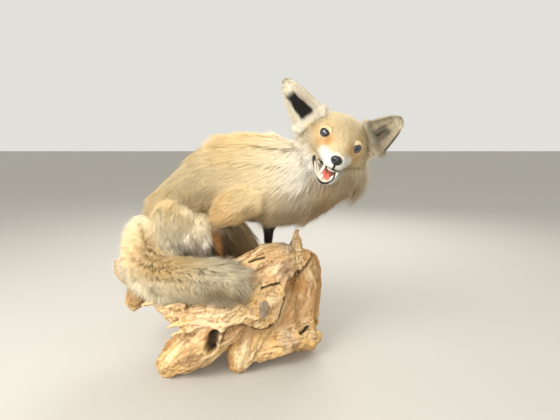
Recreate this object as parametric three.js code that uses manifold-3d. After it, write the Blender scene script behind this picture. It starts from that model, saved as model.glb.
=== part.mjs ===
// A life-size model of a mounted red fox, crouching on a gnarled root of driftwood with its head
// turned, tilted and snarling. Millimetres, +Z up, origin at the middle of the model's box on the
// floor. The fox faces +X and its right side is towards -Y. Each piece is one closed solid, about
// 0.3 mm clear of its neighbours, and the solids reach to the tips of the coat.
import * as THREE from 'three';
import { mergeVertices } from 'three/addons/utils/BufferGeometryUtils.js';
import Module from 'manifold-3d';

const wasm = await Module();
wasm.setup();

const at = (x, y, z) => new THREE.Vector3(x, y, z);
const UP = at(0, 0, 1);
const FORWARD = at(0.88, -0.47, 0); // along the trunk, from rump to chest
const SIDE = at(0, -1, 0);
const TURN = 2 * Math.PI;

// ---------------------------------------------------------------- driving dimensions
// Places are in the model's frame before it is centred, and the head's in a frame of its own.
// A chain is a row of stations: x, y, z, half the width there, and half the height if it differs.
const GAP = 0.3; // clearance between two pieces that meet
const FAR = 900; // longer than the whole model, for the block that levels the feet

// The head's frame: X to the nose, Y to the fox's left, Z to the crown, origin between the eyes.
const HEAD = { centre: [160, -89, 417], turn: -97, nod: 13, tilt: -24 };

// The head from the back of the skull to the nose: how far forward, the height of its top and
// bottom, half its width, and the height at which it is widest.
const SKULL = [
  { x: -84, top: 14, bottom: -30, wide: 30, low: -8 },
  { x: -72, top: 27, bottom: -50, wide: 54, low: -12 },
  { x: -52, top: 35, bottom: -60, wide: 66, low: -24 },
  { x: -32, top: 36.5, bottom: -60, wide: 69, low: -32 },
  { x: -14, top: 33, bottom: -54, wide: 58, low: -30 },
  { x: 0, top: 25, bottom: -48, wide: 45, low: -24 },
  { x: 12, top: 14, bottom: -45, wide: 35, low: -26 },
  { x: 26, top: 3, bottom: -42, wide: 26, low: -26 },
  { x: 44, top: -4, bottom: -39.5, wide: 20, low: -25 },
  { x: 58, top: -8, bottom: -37, wide: 15, low: -24 },
  { x: 67, top: -12, bottom: -33, wide: 9, low: -23 },
];
const JAW = [
  [-30, 0, -51, 36, 13],
  [-8, 0, -53, 32, 12],
  [18, 0, -55.5, 25, 8.5],
  [42, 0, -58.5, 13.5, 7],
  [61, 0, -57.5, 8, 5],
];
const TONGUE = [
  [6, 0, -48, 8, 3.5],
  [28, 0, -47.5, 10, 3.5],
  [45, 1, -50, 7.5, 2.6],
  [53, 1, -51, 3.5, 1.5],
];
// The lower teeth's row and the canines, on the fox's left side: each canine from root to point.
const TEETH = {
  width: 2.1, root: 2.8,
  row: [[26, 15, -50], [44, 9.5, -52.5], [56, 3.5, -53]],
  upper: [[49, 11, -36], [50, 11.5, -47.5]],
  lower: [[52, 7, -54], [54, 8, -45]],
};
const EYES = { radius: 10, eye_right: [2.5, -27, 0.8], eye_left: [2.5, 26, -2.2] };
const NOSE = { centre: [66, 0, -19], long: 8, wide: 9.6, high: 8 };
const EARS = {
  wall: 2.6, // thickness near the tip
  root_wall: 9, // thickness where the ear leaves the head
  cup: 11, // depth of the hollow
  flare: 8, // how much wider the coat makes each side of its root
  ear_right: { root: [-46, -46, -4], tip: [-50, -126, 46], across: [0.04, 0.6, 0.8], wide: 29 },
  ear_left: { root: [-46, 46, 4], tip: [-80, 92, 63], across: [0.1, 0.72, -0.68], wide: 29 },
};

// The body from the rump to the nape.
const SPINE = [
  [-212, 82, 258, 24, 26],
  [-186, 72, 272, 46, 48],
  [-148, 56, 286, 58, 60],
  [-88, 27, 324, 63, 68],
  [-31, -5, 351, 66, 82],
  [30, -30, 349, 68, 83],
  [85, -40, 347, 66, 82],
  [129, -31, 358, 61, 72],
  [168, -20, 363, 53, 61],
  [201, -15, 356, 44, 47],
  [223, -14, 352, 31, 34],
];
const BODY_LENGTHS = { trunk: [0, 6.3], neck: [6.3, 10] }; // in stations along SPINE

// The tail, from the rump round to the front of the root, in three lengths.
const TAIL = [
  [-190, 92, 274, 24],
  [-212, 52, 244, 37],
  [-204, -10, 202, 45],
  [-152, -72, 181, 46],
  [-80, -103, 183, 40],
  [-30, -112, 180, 38],
  [8, -110, 166, 30],
];
const TAIL_LENGTHS = { tail_base: [0, 2], tail_middle: [2, 4], tail_tip: [4, 6] }; // in stations

// Each leg is a few chains, from the body to the knee or elbow and on to the ankle. The width is
// across the body and the height is fore and aft.
const LEGS = {
  fore_leg_right: [
    [[46, -40, 372, 22, 40], [22, -62, 340, 34, 50], [-16, -74, 308, 31, 38], [-62, -76, 276, 22, 26]],
    [[-52, -72, 286, 22], [-48, -62, 252, 14.5], [-44, -48, 200, 13]],
  ],
  fore_leg_left: [
    [[52, 4, 340, 30, 42], [44, 14, 288, 24, 28], [38, 15, 252, 12.5], [36, 16, 200, 12]],
  ],
  hind_leg_right: [
    [[-142, 28, 334, 26, 44], [-140, 8, 284, 36, 56], [-136, -4, 242, 35, 50], [-132, -8, 196, 28, 40]],
    [[-140, 0, 246, 36], [-100, -22, 232, 28], [-72, -32, 222, 24]],
    [[-88, -22, 218, 22], [-124, -4, 192, 20], [-152, 8, 170, 12]],
  ],
  hind_leg_left: [
    [[-110, 78, 312, 32, 46], [-76, 84, 256, 33, 52], [-34, 81, 206, 30, 51], [0, 78, 162, 26, 44]],
    [[-46, 84, 190, 24], [-72, 92, 184, 20], [-94, 103, 170, 12]],
  ],
};
const PAWS = {
  fore_paw_right: { heel: [-46, -44, 201], toes: [-20, -52, 195], wide: 16, high: 11 },
  fore_paw_left: { heel: [34, 17, 202], toes: [64, 3, 199], wide: 16, high: 11 },
  hind_paw_right: { heel: [-154, 8, 172], toes: [-78, -30, 169], wide: 16, high: 12 },
  hind_paw_left: { heel: [-92, 102, 172], toes: [-16, 66, 169], wide: 16, high: 12 },
};
const TOE = { long: 12, wide: 4.6, high: 7, reach: 8, spread: 9.6, claw: 9, claw_root: 2.2 };

// The driftwood: thick roots that grow together.
const ROOTS = {
  front_slab: [
    [92, -8, 210, 22], [54, -30, 176, 44], [8, -62, 142, 52], [-44, -84, 100, 46],
    [-98, -92, 50, 38], [-158, -92, 6, 28],
  ],
  spike: [[84, -10, 180, 28], [91, -13, 212, 19], [90, -15, 244, 5]],
  lip: [[-42, -84, 178, 16], [-8, -70, 190, 23], [38, -46, 204, 28], [90, -20, 204, 22]],
  ridge: [[-66, -40, 150, 32], [26, -20, 160, 42], [96, 0, 180, 34]],
  core: [[56, -22, 168, 44], [60, -26, 90, 52], [66, -22, 14, 34]],
  middle_foot: [[40, -50, 120, 40], [4, -70, 60, 36], [-28, -82, -8, 20]],
  right_slab: [[98, 2, 208, 26], [106, -4, 150, 39], [98, -8, 80, 38], [108, 0, -8, 26]],
  low_edge: [[-10, -74, 40, 24], [50, -56, 38, 27], [96, -38, 42, 25], [140, -20, 30, 17]],
  hind_bed: [[-196, -16, 120, 28], [-110, -6, 108, 46], [-30, 10, 112, 60], [70, 10, 112, 58]],
  far_bed: [[-140, 92, 138, 20], [-60, 82, 120, 43], [40, 56, 112, 52]],
  shelf: [[-152, -88, 120, 8], [-106, -94, 112, 26], [-50, -96, 112, 34], [24, -70, 122, 34]],
  left_arm: [[-100, -6, 118, 34], [-176, -8, 130, 32], [-222, -10, 148, 24], [-262, -10, 188, 16]],
  arm_stub: [[-200, -8, 156, 28], [-222, -12, 122, 26], [-232, -12, 84, 15]],
  far_left_foot: [[-50, 26, 104, 44], [-104, 44, 56, 34], [-142, 56, -8, 22]],
  far_right_foot: [[0, 36, 108, 48], [40, 84, 56, 38], [64, 120, -8, 24]],
};
const GNARL = 0.09; // how much a root swells and narrows round its girth

// ---------------------------------------------------------------- making solids
// A closed shape as a solid that can be joined and cut.
function solid(shape) {
  shape.deleteAttribute('normal');
  shape.deleteAttribute('uv');
  const merged = mergeVertices(shape, 1e-3);
  const triVerts = new Uint32Array(merged.index.array);
  const mesh = new wasm.Mesh({ numProp: 3, vertProperties: merged.attributes.position.array, triVerts });
  return new wasm.Manifold(mesh);
}
const joined = (solids) => solids.reduce((all, one) => all.add(one));

// A sphere whose rows become rings along a path: place(row, round) puts each point of its skin.
function loft(rows, sides, place) {
  const shape = new THREE.SphereGeometry(1, sides, rows);
  const { position, uv } = shape.attributes;
  for (let i = 0; i < position.count; i++) {
    const row = Math.round((1 - uv.getY(i)) * rows);
    const atPole = row === 0 || row === rows;
    const p = place(row, atPole ? 0 : TURN * (1 - uv.getX(i)));
    position.setXYZ(i, p.x, p.y, p.z);
  }
  return shape;
}

// A value between stations, on the smooth curve through the values at them.
function between(values, s) {
  const last = values.length - 1;
  const i = Math.min(Math.floor(s), last - 1);
  const f = s - i;
  const [a, b, c, d] = [-1, 0, 1, 2].map((k) => values[THREE.MathUtils.clamp(i + k, 0, last)]);
  return b + 0.5 * f * (c - a + f * (2 * a - 5 * b + 4 * c - d + f * (3 * (b - c) + d - a)));
}

// Where each row of a limb stands, in stations, with its share of the full girth there. A round
// end takes three rows over the length `cap`, and a flat end has its pole in its first ring.
function rowsAlong({ rows, from, to, flatStart, flatEnd, cap }) {
  const startRows = flatStart ? 1 : 3;
  const endRows = flatEnd ? 1 : 3;
  const a = flatStart ? from : from + cap;
  const b = flatEnd ? to : to - cap;
  const quarter = (part, whole) => ((part / whole) * Math.PI) / 2;
  return Array.from({ length: rows + 1 }, (_, row) => {
    const start = quarter(row, startRows);
    const end = quarter(rows - row, endRows);
    if (row < startRows) return [a - (a - from) * Math.cos(start), Math.sin(start)];
    if (rows - row < endRows) return [b + (to - b) * Math.cos(end), Math.sin(end)];
    return [a + ((b - a) * (row - startRows)) / (rows - startRows - endRows), 1];
  });
}

const pathOf = (chain) => new THREE.CatmullRomCurve3(chain.map(([x, y, z]) => at(x, y, z)));

// A tapering, bending body through a chain of stations. Heights stand as near to `up` as the
// path lets them, `grow` makes the body larger all over, and `gnarl` makes it lumpy.
function limb(chain, options) {
  const last = chain.length - 1;
  const defaults = { from: 0, to: last, cap: 0.6, up: UP, grow: 0, gnarl: 0 };
  const { rows, sides, up, grow, gnarl, ...ends } = { ...defaults, ...options };
  const path = pathOf(chain);
  const wides = chain.map(([, , , wide]) => wide);
  const highs = chain.map(([, , , wide, high = wide]) => high);
  const stands = rowsAlong({ rows, ...ends });
  return loft(rows, sides, (row, round) => {
    const [s, share] = stands[row];
    const along = path.getTangent(s / last);
    const across = at(0, 0, 0).crossVectors(up, along).normalize();
    const rise = at(0, 0, 0).crossVectors(along, across);
    const lump = 1 + gnarl * (Math.sin(3 * round + 2 * s) + Math.cos(5 * round - 3 * s));
    const pole = row === 0 ? -grow : row === rows ? grow : 0;
    const girth = share === 0 ? 0 : lump;
    return path
      .getPoint(s / last)
      .addScaledVector(across, girth * (between(wides, s) * share + grow) * Math.cos(round))
      .addScaledVector(rise, girth * (between(highs, s) * share + grow) * Math.sin(round))
      .addScaledVector(along, pole);
  });
}

// A ball stretched along each axis.
function ball(centre, [x, y, z], grow) {
  return new THREE.SphereGeometry(1, 12, 6).scale(x + grow, y + grow, z + grow).translate(...centre);
}

// A cone from its root to its point.
function spike(root, tip, radius) {
  const line = at(...tip).sub(at(...root));
  const cone = new THREE.ConeGeometry(radius, line.length(), 4).translate(0, line.length() / 2, 0);
  const turn = new THREE.Quaternion().setFromUnitVectors(at(0, 1, 0), line.normalize());
  return cone.applyQuaternion(turn).translate(...root);
}

// ---------------------------------------------------------------- head
const headAngles = ['tilt', 'nod', 'turn'].map((name) => THREE.MathUtils.degToRad(HEAD[name]));
const headTurn = new THREE.Euler(...headAngles, 'ZYX');
const headFrame = new THREE.Matrix4().makeRotationFromEuler(headTurn).setPosition(...HEAD.centre);
const inHead = (shape) => solid(shape.applyMatrix4(headFrame));

function head(grow) {
  const rows = 15;
  const profile = Object.fromEntries(
    ['x', 'top', 'bottom', 'wide', 'low'].map((name) => [name, SKULL.map((station) => station[name])]),
  );
  const stands = rowsAlong({ rows, from: 0, to: SKULL.length - 1, cap: 0.8 });
  const skull = loft(rows, 16, (row, round) => {
    const [s, share] = stands[row];
    const low = between(profile.low, s);
    const reach = Math.sin(round) > 0 ? between(profile.top, s) - low : low - between(profile.bottom, s);
    const pole = row === 0 ? -grow : row === rows ? grow : 0;
    const more = share === 0 ? 0 : grow;
    return at(
      between(profile.x, s) + pole,
      (between(profile.wide, s) * share + more) * Math.cos(round),
      low + (reach * share + more) * Math.sin(round),
    );
  });
  return inHead(skull).add(canines(TEETH.upper));
}

const canines = ([root, tip]) => {
  const onSide = ([x, y, z], side) => [x, side * y, z];
  return joined([-1, 1].map((side) => inHead(spike(onSide(root, side), onSide(tip, side), TEETH.root))));
};

// The lower teeth stand in one row round the front of the jaw, and are one piece with it.
function lowerJaw(grow) {
  const right = TEETH.row.map(([x, y, z]) => [x, -y, z]);
  const row = [...right, ...[...TEETH.row].reverse()].map((place) => [...place, TEETH.width]);
  const teeth = inHead(limb(row, { rows: 11, sides: 5, cap: 0.3, grow })).add(canines(TEETH.lower));
  return inHead(limb(JAW, { rows: 9, sides: 10, grow })).add(teeth);
}

const tongue = (grow) => inHead(limb(TONGUE, { rows: 7, sides: 8, grow }));
const nose = (grow) => inHead(ball(NOSE.centre, [NOSE.long, NOSE.wide, NOSE.high], grow));
const eye = (name) => (grow) => inHead(ball(EYES[name], [EYES.radius, EYES.radius, EYES.radius], grow));

// An ear is a cupped leaf that widens from its tip to its root and opens towards the front.
const ear = (name) => (grow) => {
  const rows = 9;
  const { root, tip, across, wide } = EARS[name];
  const axis = at(...tip).sub(at(...root));
  const side = at(...across).projectOnPlane(axis.clone().normalize()).normalize();
  const faces = at(0, 0, 0).crossVectors(side, axis).normalize();
  const leaf = loft(rows, 10, (row, round) => {
    const t = Math.max(0, (row - 1) / (rows - 1));
    const atEnd = row === 0 || row === rows;
    const narrowing = atEnd ? 0 : Math.sqrt(1 - t ** 1.6);
    const more = atEnd ? 0 : grow;
    const pole = row === 0 ? -grow : row === rows ? grow : 0;
    const rim = Math.cos(round);
    const thickness = THREE.MathUtils.lerp(EARS.root_wall, EARS.wall, t) * Math.sqrt(narrowing) + 2 * more;
    const blunt = Math.sign(Math.sin(round)) * Math.sqrt(Math.abs(Math.sin(round)));
    const half = atEnd ? 0 : wide * narrowing + EARS.flare * (1 - t) ** 3;
    const offset = (half + more) * rim;
    const bend = half && EARS.cup * narrowing * (offset / half) ** 2;
    return at(...root)
      .addScaledVector(axis, t + pole / axis.length())
      .addScaledVector(side, offset)
      .addScaledVector(faces, bend - (thickness / 2) * blunt);
  });
  return inHead(leaf);
};

// ---------------------------------------------------------------- body, legs and tail
const leg = (name) => (grow) =>
  joined(LEGS[name].map((chain) => solid(limb(chain, { rows: 8, sides: 9, cap: 0.8, up: FORWARD, grow }))));

// A paw is a sole with four toes, each with its claw.
const paw = (name) => (grow) => {
  const { heel, toes, wide, high } = PAWS[name];
  const forward = at(...toes).sub(at(...heel)).normalize();
  const side = at(0, 0, 0).crossVectors(UP, forward).normalize();
  const turn = new THREE.Matrix4().makeBasis(forward, side, at(0, 0, 0).crossVectors(forward, side));
  const sole = [[...heel, wide * 0.8, high], [...toes, wide, high]];
  const cap = TOE.long / at(...toes).distanceTo(at(...heel)); // the sole's ends are as round as the toes
  const digits = [-1.5, -0.5, 0.5, 1.5].flatMap((place) => {
    const reach = TOE.reach - 4 * Math.abs(place);
    const point = (along, down) =>
      at(...toes)
        .addScaledVector(side, place * TOE.spread)
        .addScaledVector(forward, reach + along)
        .addScaledVector(UP, -down)
        .toArray();
    const pad = new THREE.SphereGeometry(1, 6, 4).scale(TOE.long + grow, TOE.wide + grow, TOE.high + grow);
    const claw = spike(point(TOE.long - 3, 1), point(TOE.long + TOE.claw, TOE.high - 1), TOE.claw_root);
    return [solid(pad.applyMatrix4(turn).translate(...point(0, 1))), solid(claw)];
  });
  return joined([solid(limb(sole, { rows: 7, sides: 7, cap, grow })), ...digits]);
};

// One length of a long body, parted from the next by a flat gap.
function lengthOf(chain, [from, to], options, grow) {
  const inset = ((GAP / 2) * (chain.length - 1)) / pathOf(chain).getLength();
  const flatStart = from > 0;
  const flatEnd = to < chain.length - 1;
  const ends = { from: from + (flatStart && inset), to: to - (flatEnd && inset), flatStart, flatEnd };
  return solid(limb(chain, { ...options, ...ends, grow }));
}
const bodyLength = (name, rows) => (grow) => lengthOf(SPINE, BODY_LENGTHS[name], { rows, sides: 14 }, grow);
const tailLength = (name) => (grow) => lengthOf(TAIL, TAIL_LENGTHS[name], { rows: 6, sides: 12 }, grow);

// ---------------------------------------------------------------- driftwood
function driftwood(grow) {
  const roots = Object.values(ROOTS).map((chain) =>
    solid(limb(chain, { rows: 2 * chain.length + 1, sides: 7, cap: 0.5, up: SIDE, gnarl: GNARL, grow })),
  );
  const below = solid(new THREE.BoxGeometry(FAR, FAR, FAR).translate(0, 0, -FAR / 2));
  return joined(roots).subtract(below);
}

// ---------------------------------------------------------------- the whole
const FUR = { color: 0xcbb48a, roughness: 0.95 };
const DARK_FUR = { color: 0x4a3a2c, roughness: 0.9 };
const EAR_SKIN = { color: 0xa08c70, roughness: 0.8 };
const NOSE_LEATHER = { color: 0x15130f, roughness: 0.3 };
const EYE_GLASS = { color: 0x5f6f7c, roughness: 0.05 };
const TONGUE_SKIN = { color: 0xd9705f, roughness: 0.3 };
const WOOD = { color: 0xb98d5a, roughness: 0.85 };

// Each piece with its maker and finish. Where two would meet, the later one is cut away round
// the earlier, with the gap between them.
const PIECES = {
  nose: [nose, NOSE_LEATHER],
  eye_left: [eye('eye_left'), EYE_GLASS],
  eye_right: [eye('eye_right'), EYE_GLASS],
  lower_jaw: [lowerJaw, FUR],
  ear_left: [ear('ear_left'), EAR_SKIN],
  ear_right: [ear('ear_right'), EAR_SKIN],
  head: [head, FUR],
  tongue: [tongue, TONGUE_SKIN],
  neck: [bodyLength('neck', 8), FUR],
  driftwood: [driftwood, WOOD],
  ...Object.fromEntries(Object.keys(PAWS).map((name) => [name, [paw(name), DARK_FUR]])),
  ...Object.fromEntries(Object.keys(LEGS).map((name) => [name, [leg(name), FUR]])),
  trunk: [bodyLength('trunk', 14), FUR],
  ...Object.fromEntries(Object.keys(TAIL_LENGTHS).map((name) => [name, [tailLength(name), FUR]])),
};
const IN_HEAD = ['nose', 'eye_left', 'eye_right', 'lower_jaw', 'ear_left', 'ear_right', 'head', 'tongue'];

const model = new THREE.Group();
const headGroup = new THREE.Group();
headGroup.position.set(...HEAD.centre);
headGroup.rotation.copy(headTurn);
model.add(headGroup);

const cutters = [];
for (const [name, [make, finish]] of Object.entries(PIECES)) {
  const piece = cutters.reduce((left, cutter) => left.subtract(cutter), make(0));
  cutters.push(make(GAP));
  const { vertProperties, triVerts } = piece.getMesh();
  const shape = new THREE.BufferGeometry();
  shape.setAttribute('position', new THREE.BufferAttribute(vertProperties, 3));
  shape.setIndex(new THREE.BufferAttribute(triVerts, 1));
  const inItsHead = IN_HEAD.includes(name);
  if (inItsHead) shape.applyMatrix4(headFrame.clone().invert());
  shape.computeVertexNormals();
  const mesh = new THREE.Mesh(shape, new THREE.MeshStandardMaterial({ ...finish, metalness: 0 }));
  mesh.name = name;
  (inItsHead ? headGroup : model).add(mesh);
}

// The origin is moved to the middle of the model's box, on the floor.
const box = new THREE.Box3().setFromObject(model, true);
const middle = box.getCenter(new THREE.Vector3());
model.position.set(-middle.x, -middle.y, -box.min.z);

export default model;
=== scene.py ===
"""The looks of a life-size mounted red fox on its driftwood root: one skin with a coat of tufts over
the faceted flesh, glass eyes, lids, ears, nose, an open mouth with teeth and tongue, whiskers, claws
and a weathered root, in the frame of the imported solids."""
import itertools
import math

import bmesh
import bpy
import numpy as np
from mathutils import Matrix, Vector
from mathutils.bvhtree import BVHTree
from mathutils.kdtree import KDTree


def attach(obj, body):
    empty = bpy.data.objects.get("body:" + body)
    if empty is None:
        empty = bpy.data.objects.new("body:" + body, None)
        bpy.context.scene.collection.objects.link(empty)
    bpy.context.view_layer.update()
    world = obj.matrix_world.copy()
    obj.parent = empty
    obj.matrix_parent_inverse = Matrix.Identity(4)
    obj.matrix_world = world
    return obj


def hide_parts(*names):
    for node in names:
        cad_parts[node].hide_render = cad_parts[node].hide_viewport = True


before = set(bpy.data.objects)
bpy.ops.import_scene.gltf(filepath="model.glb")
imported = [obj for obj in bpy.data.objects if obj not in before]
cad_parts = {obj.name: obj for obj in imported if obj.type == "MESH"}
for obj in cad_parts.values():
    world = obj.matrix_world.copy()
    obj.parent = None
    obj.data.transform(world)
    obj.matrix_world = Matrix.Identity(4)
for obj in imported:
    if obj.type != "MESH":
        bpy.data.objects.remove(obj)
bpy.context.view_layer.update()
RANDOM = np.random.default_rng(11)

# ------------------------------------------------------------------ places, in millimetres
# The solids were drawn in millimetres and then centred. Places below are as drawn.
MM = 0.001
CENTRING = np.array([-6.605, 13.120, 0.0])
HEAD_CENTRE = np.array([160.0, -89.0, 417.0])
HEAD_ANGLES = {"turn": -97.0, "nod": 13.0, "tilt": -24.0}

SPINE = [
    (-226, 86, 250), (-186, 72, 272), (-148, 56, 286), (-88, 27, 324), (-31, -5, 349), (30, -30, 349),
    (85, -38, 347), (129, -31, 358), (168, -24, 363), (226, -16, 350),
]
TAIL = [
    (-190, 92, 274), (-212, 52, 244), (-204, -10, 202), (-152, -72, 181), (-80, -103, 183),
    (-30, -112, 180), (12, -110, 166),
]
LEG_LINES = {
    "fore_leg_right": [
        (46, -52, 372), (22, -66, 340), (-16, -76, 308), (-56, -76, 282), (-48, -62, 246), (-44, -48, 196),
    ],
    "fore_leg_left": [(52, 4, 340), (44, 14, 288), (38, 15, 252), (36, 16, 196)],
    "hind_leg_right": [
        (-142, 22, 334), (-138, -8, 286), (-124, -22, 240), (-110, -26, 214), (-130, -8, 190), (-152, 8, 168),
    ],
    "hind_leg_left": [(-110, 82, 312), (-66, 90, 256), (-34, 86, 206), (-52, 88, 182), (-92, 103, 170)],
}
PAWS = {  # heel, toes
    "fore_paw_right": [(-46, -44, 201), (-20, -52, 195)],
    "fore_paw_left": [(34, 17, 202), (64, 3, 199)],
    "hind_paw_right": [(-154, 8, 172), (-78, -30, 169)],
    "hind_paw_left": [(-92, 102, 172), (-16, 66, 169)],
}
FORELEGS = ["fore_leg_right", "fore_leg_left"]
HIND_LEGS = ["hind_leg_right", "hind_leg_left"]
TRUNK_NODES = ["trunk", "neck"]
TAIL_NODES = ["tail_base", "tail_middle", "tail_tip"]
HEAD_NODES = ["head", "lower_jaw"]
FLESH = HEAD_NODES + TRUNK_NODES + TAIL_NODES + list(LEG_LINES) + list(PAWS)

EARS = {
    "right": {"root": (-46, -46, -4), "tip": (-50, -126, 46), "across": (0.04, 0.6, 0.8), "wide": 29},
    "left": {"root": (-46, 46, 4), "tip": (-80, 92, 63), "across": (0.1, 0.72, -0.68), "wide": 29},
}

# In the head's own frame: X to the nose, Y to the fox's left, Z to the crown.
EYES = {"right": np.array([2.5, -27.0, 0.8]), "left": np.array([2.5, 26.0, -2.2])}
NOSE = np.array([66.0, 0.0, -19.0])


def turned(angle, axis):
    return np.array(Matrix.Rotation(math.radians(angle), 3, axis))


HEAD_TURN = turned(HEAD_ANGLES["turn"], "Z") @ turned(HEAD_ANGLES["nod"], "Y")
HEAD_TURN = HEAD_TURN @ turned(HEAD_ANGLES["tilt"], "X")


def spot(places):
    """Places in millimetres, as points of the frame."""
    return (np.asarray(places, float) + CENTRING) * MM


def from_head(places):
    """Places in the head's own millimetres, as points of the frame."""
    return spot(np.asarray(places, float) @ HEAD_TURN.T + HEAD_CENTRE)


def to_head(points):
    return (np.asarray(points) / MM - CENTRING - HEAD_CENTRE) @ HEAD_TURN


def head_row(place, girth):
    """A cord's row from a place as drawn: the place in the head's own millimetres, and the girth there."""
    return (*((place - HEAD_CENTRE) @ HEAD_TURN), girth)


def head_way(way):
    """A direction in the head's own frame, as one of the frame."""
    return unit(HEAD_TURN @ np.asarray(way, float))


# ------------------------------------------------------------------ arithmetic on arrays
def unit(vectors):
    vectors = np.asarray(vectors, float)
    return vectors / np.maximum(np.linalg.norm(vectors, axis=-1, keepdims=True), 1e-12)


def dot(a, b):
    return (a * b).sum(axis=-1, keepdims=True)


def flat(vectors, normals):
    """The part of each vector that lies along the surface, at length one."""
    return unit(vectors - normals * dot(vectors, normals))


def step(low, high, values):
    """Rises smoothly from 0 to 1 between low and high."""
    t = np.clip((np.asarray(values, float) - low) / (high - low), 0, 1)
    return t * t * (3 - 2 * t)


def near(points, centre, reach):
    """A soft spot: 1 at the centre, falling away over the reach, which may differ by axis."""
    apart = (points - np.asarray(centre, float)) / np.asarray(reach, float)
    return np.exp(-(apart**2).sum(axis=-1))


def lattice(cells, seed):
    """A random number from 0 to 1 for each cell of a cubic lattice."""
    n = cells.astype(np.int64)
    mixed = n[..., 0] * 374761393 + n[..., 1] * 668265263 + n[..., 2] * 974634777 + seed * 144269504
    mixed = (mixed ^ (mixed >> 13)) * 1274126177
    return ((mixed ^ (mixed >> 16)) & 0xFFFFFF) / 0xFFFFFF


def noise(points, size, seed=0):
    """Smooth random values from -1 to 1, with bumps about that size apart."""
    p = np.asarray(points) / size
    cell = np.floor(p)
    f = p - cell
    f = f * f * (3 - 2 * f)
    total = 0
    for corner in itertools.product((0, 1), repeat=3):
        share = np.prod(np.where(corner, f, 1 - f), axis=-1)
        total = total + share * lattice(cell + np.array(corner), seed)
    return 2 * total - 1


def smooth_line(places, count=60):
    """Points evenly along a smooth curve through the places."""
    p = np.asarray(places, float)
    p = np.vstack([2 * p[0] - p[1], p, 2 * p[-1] - p[-2]])
    t = np.linspace(0, len(p) - 3 - 1e-9, count)
    i = t.astype(int)
    f = (t - i)[:, None]
    a, b, c, d = (p[i + k] for k in range(4))
    return b + 0.5 * f * (c - a + f * (2 * a - 5 * b + 4 * c - d + f * (3 * (b - c) + d - a)))


def nearest(points, places):
    """For each point, which of the places is nearest to it and how far off that is."""
    tree = KDTree(len(places))
    for i, place in enumerate(places):
        tree.insert(place, i)
    tree.balance()
    found = [tree.find(p)[1:] for p in points]
    return np.array([f[0] for f in found]), np.array([f[1] for f in found])


def beside(points, line):
    """For each point, the line's direction at its nearest place, the share of the way along, and the gap."""
    index, apart = nearest(points, line)
    return unit(np.gradient(line, axis=0))[index], index / (len(line) - 1), apart


# ------------------------------------------------------------------ colours and materials
def linear(code):
    """An sRGB hex colour as linear numbers."""
    parts = np.array([int(code[i : i + 2], 16) / 255 for i in (1, 3, 5)])
    return np.where(parts <= 0.04045, parts / 12.92, ((parts + 0.055) / 1.055) ** 2.4)


def mixed(base, colour, share):
    """The base drawn that share of the way to another colour, point by point."""
    return base + (colour - base) * np.clip(share, 0, 1)[:, None]


def layered(base, layers, colours):
    """The base under layers, each of one named colour and its share at every point."""
    for name, share in layers:
        base = mixed(base, colours[name], share)
    return base


def node(tree, kind, links=(), **settings):
    """Adds a node, gives it its settings, and links (input name, output socket) pairs."""
    made = tree.nodes.new(kind)
    for name, value in settings.items():
        if hasattr(made, name):
            setattr(made, name, value)
        else:
            made.inputs[name.replace("_", " ")].default_value = value
    for name, source in links:
        tree.links.new(source, made.inputs[name])
    return made


def material(name, build=None, **settings):
    """A Principled material: build(tree, shader) adds its nodes, and settings go on the shader's sockets."""
    made = bpy.data.materials.new(name)
    made.use_nodes = True
    shader = made.node_tree.nodes["Principled BSDF"]
    for key, value in settings.items():
        shader.inputs[key.replace("_", " ")].default_value = value
    if build:
        build(made.node_tree, shader)
    return made


PAINT = "paint"  # the attribute that holds a piece's own colours


def painted(bump_size=0.0, bump_height=0.0):
    """Colour from the piece's own paint, with a fine bump of the given size and height in mm."""

    def build(tree, shader):
        own = node(tree, "ShaderNodeAttribute", attribute_name=PAINT)
        tree.links.new(own.outputs["Color"], shader.inputs["Base Color"])
        if bump_size:
            place = [("Vector", node(tree, "ShaderNodeTexCoord").outputs["Object"])]
            pores = node(tree, "ShaderNodeTexNoise", place, Scale=1 / (bump_size * MM), Detail=3.0)
            relief = [("Height", pores.outputs["Fac"])]
            bump = node(tree, "ShaderNodeBump", relief, Strength=0.6, Distance=bump_height * MM)
            tree.links.new(bump.outputs["Normal"], shader.inputs["Normal"])

    return build


# Fox fur: matt and soft, each tuft with a faint sheen at a grazing angle.
FUR = material(
    "fox fur", painted(), Roughness=0.7, Sheen_Weight=0.07, Sheen_Roughness=0.5, Specular_IOR_Level=0.16
)
# Tanned hide: dull skin with a fine grain, so that nothing shines between the tufts.
HIDE = material("tanned fox hide", painted(1.2, 0.5), Roughness=0.85, Specular_IOR_Level=0.2)
# Weathered root wood: bare, dry and matt, with fine fibre relief.
WOOD = material("weathered driftwood", painted(1.6, 1.0), Roughness=0.86, Specular_IOR_Level=0.25)
# Painted wax: the mouth looks wet, with small soft highlights.
GUM = material(
    "painted wax gums and tongue", painted(1.5, 0.25), Roughness=0.28, Coat_Weight=0.4, Coat_Roughness=0.15
)
# Black lacquer: a dark satin edge round the open mouth.
LIP = material("lacquered black lip skin", painted(1.0, 0.35), Roughness=0.38, Specular_IOR_Level=0.5)
# Old enamel: ivory with a gloss, so that each tooth carries its own highlight.
TOOTH = material("old tooth enamel", painted(2.0, 0.1), Roughness=0.25, Coat_Weight=0.3)
# Nose leather: pebbled and damp-looking.
LEATHER = material("nose leather", painted(0.9, 0.35), Roughness=0.32, Coat_Weight=0.3, Coat_Roughness=0.2)
# Horn: the dull gloss of claws and whiskers.
HORN = material("claw horn", painted(1.0, 0.1), Roughness=0.35)
# Painted glass: clear and very smooth, with the lamps as sharp points of light.
EYE = material("painted glass eye", painted(), Roughness=0.04, IOR=1.52, Coat_Weight=1.0, Coat_Roughness=0.02)


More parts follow.
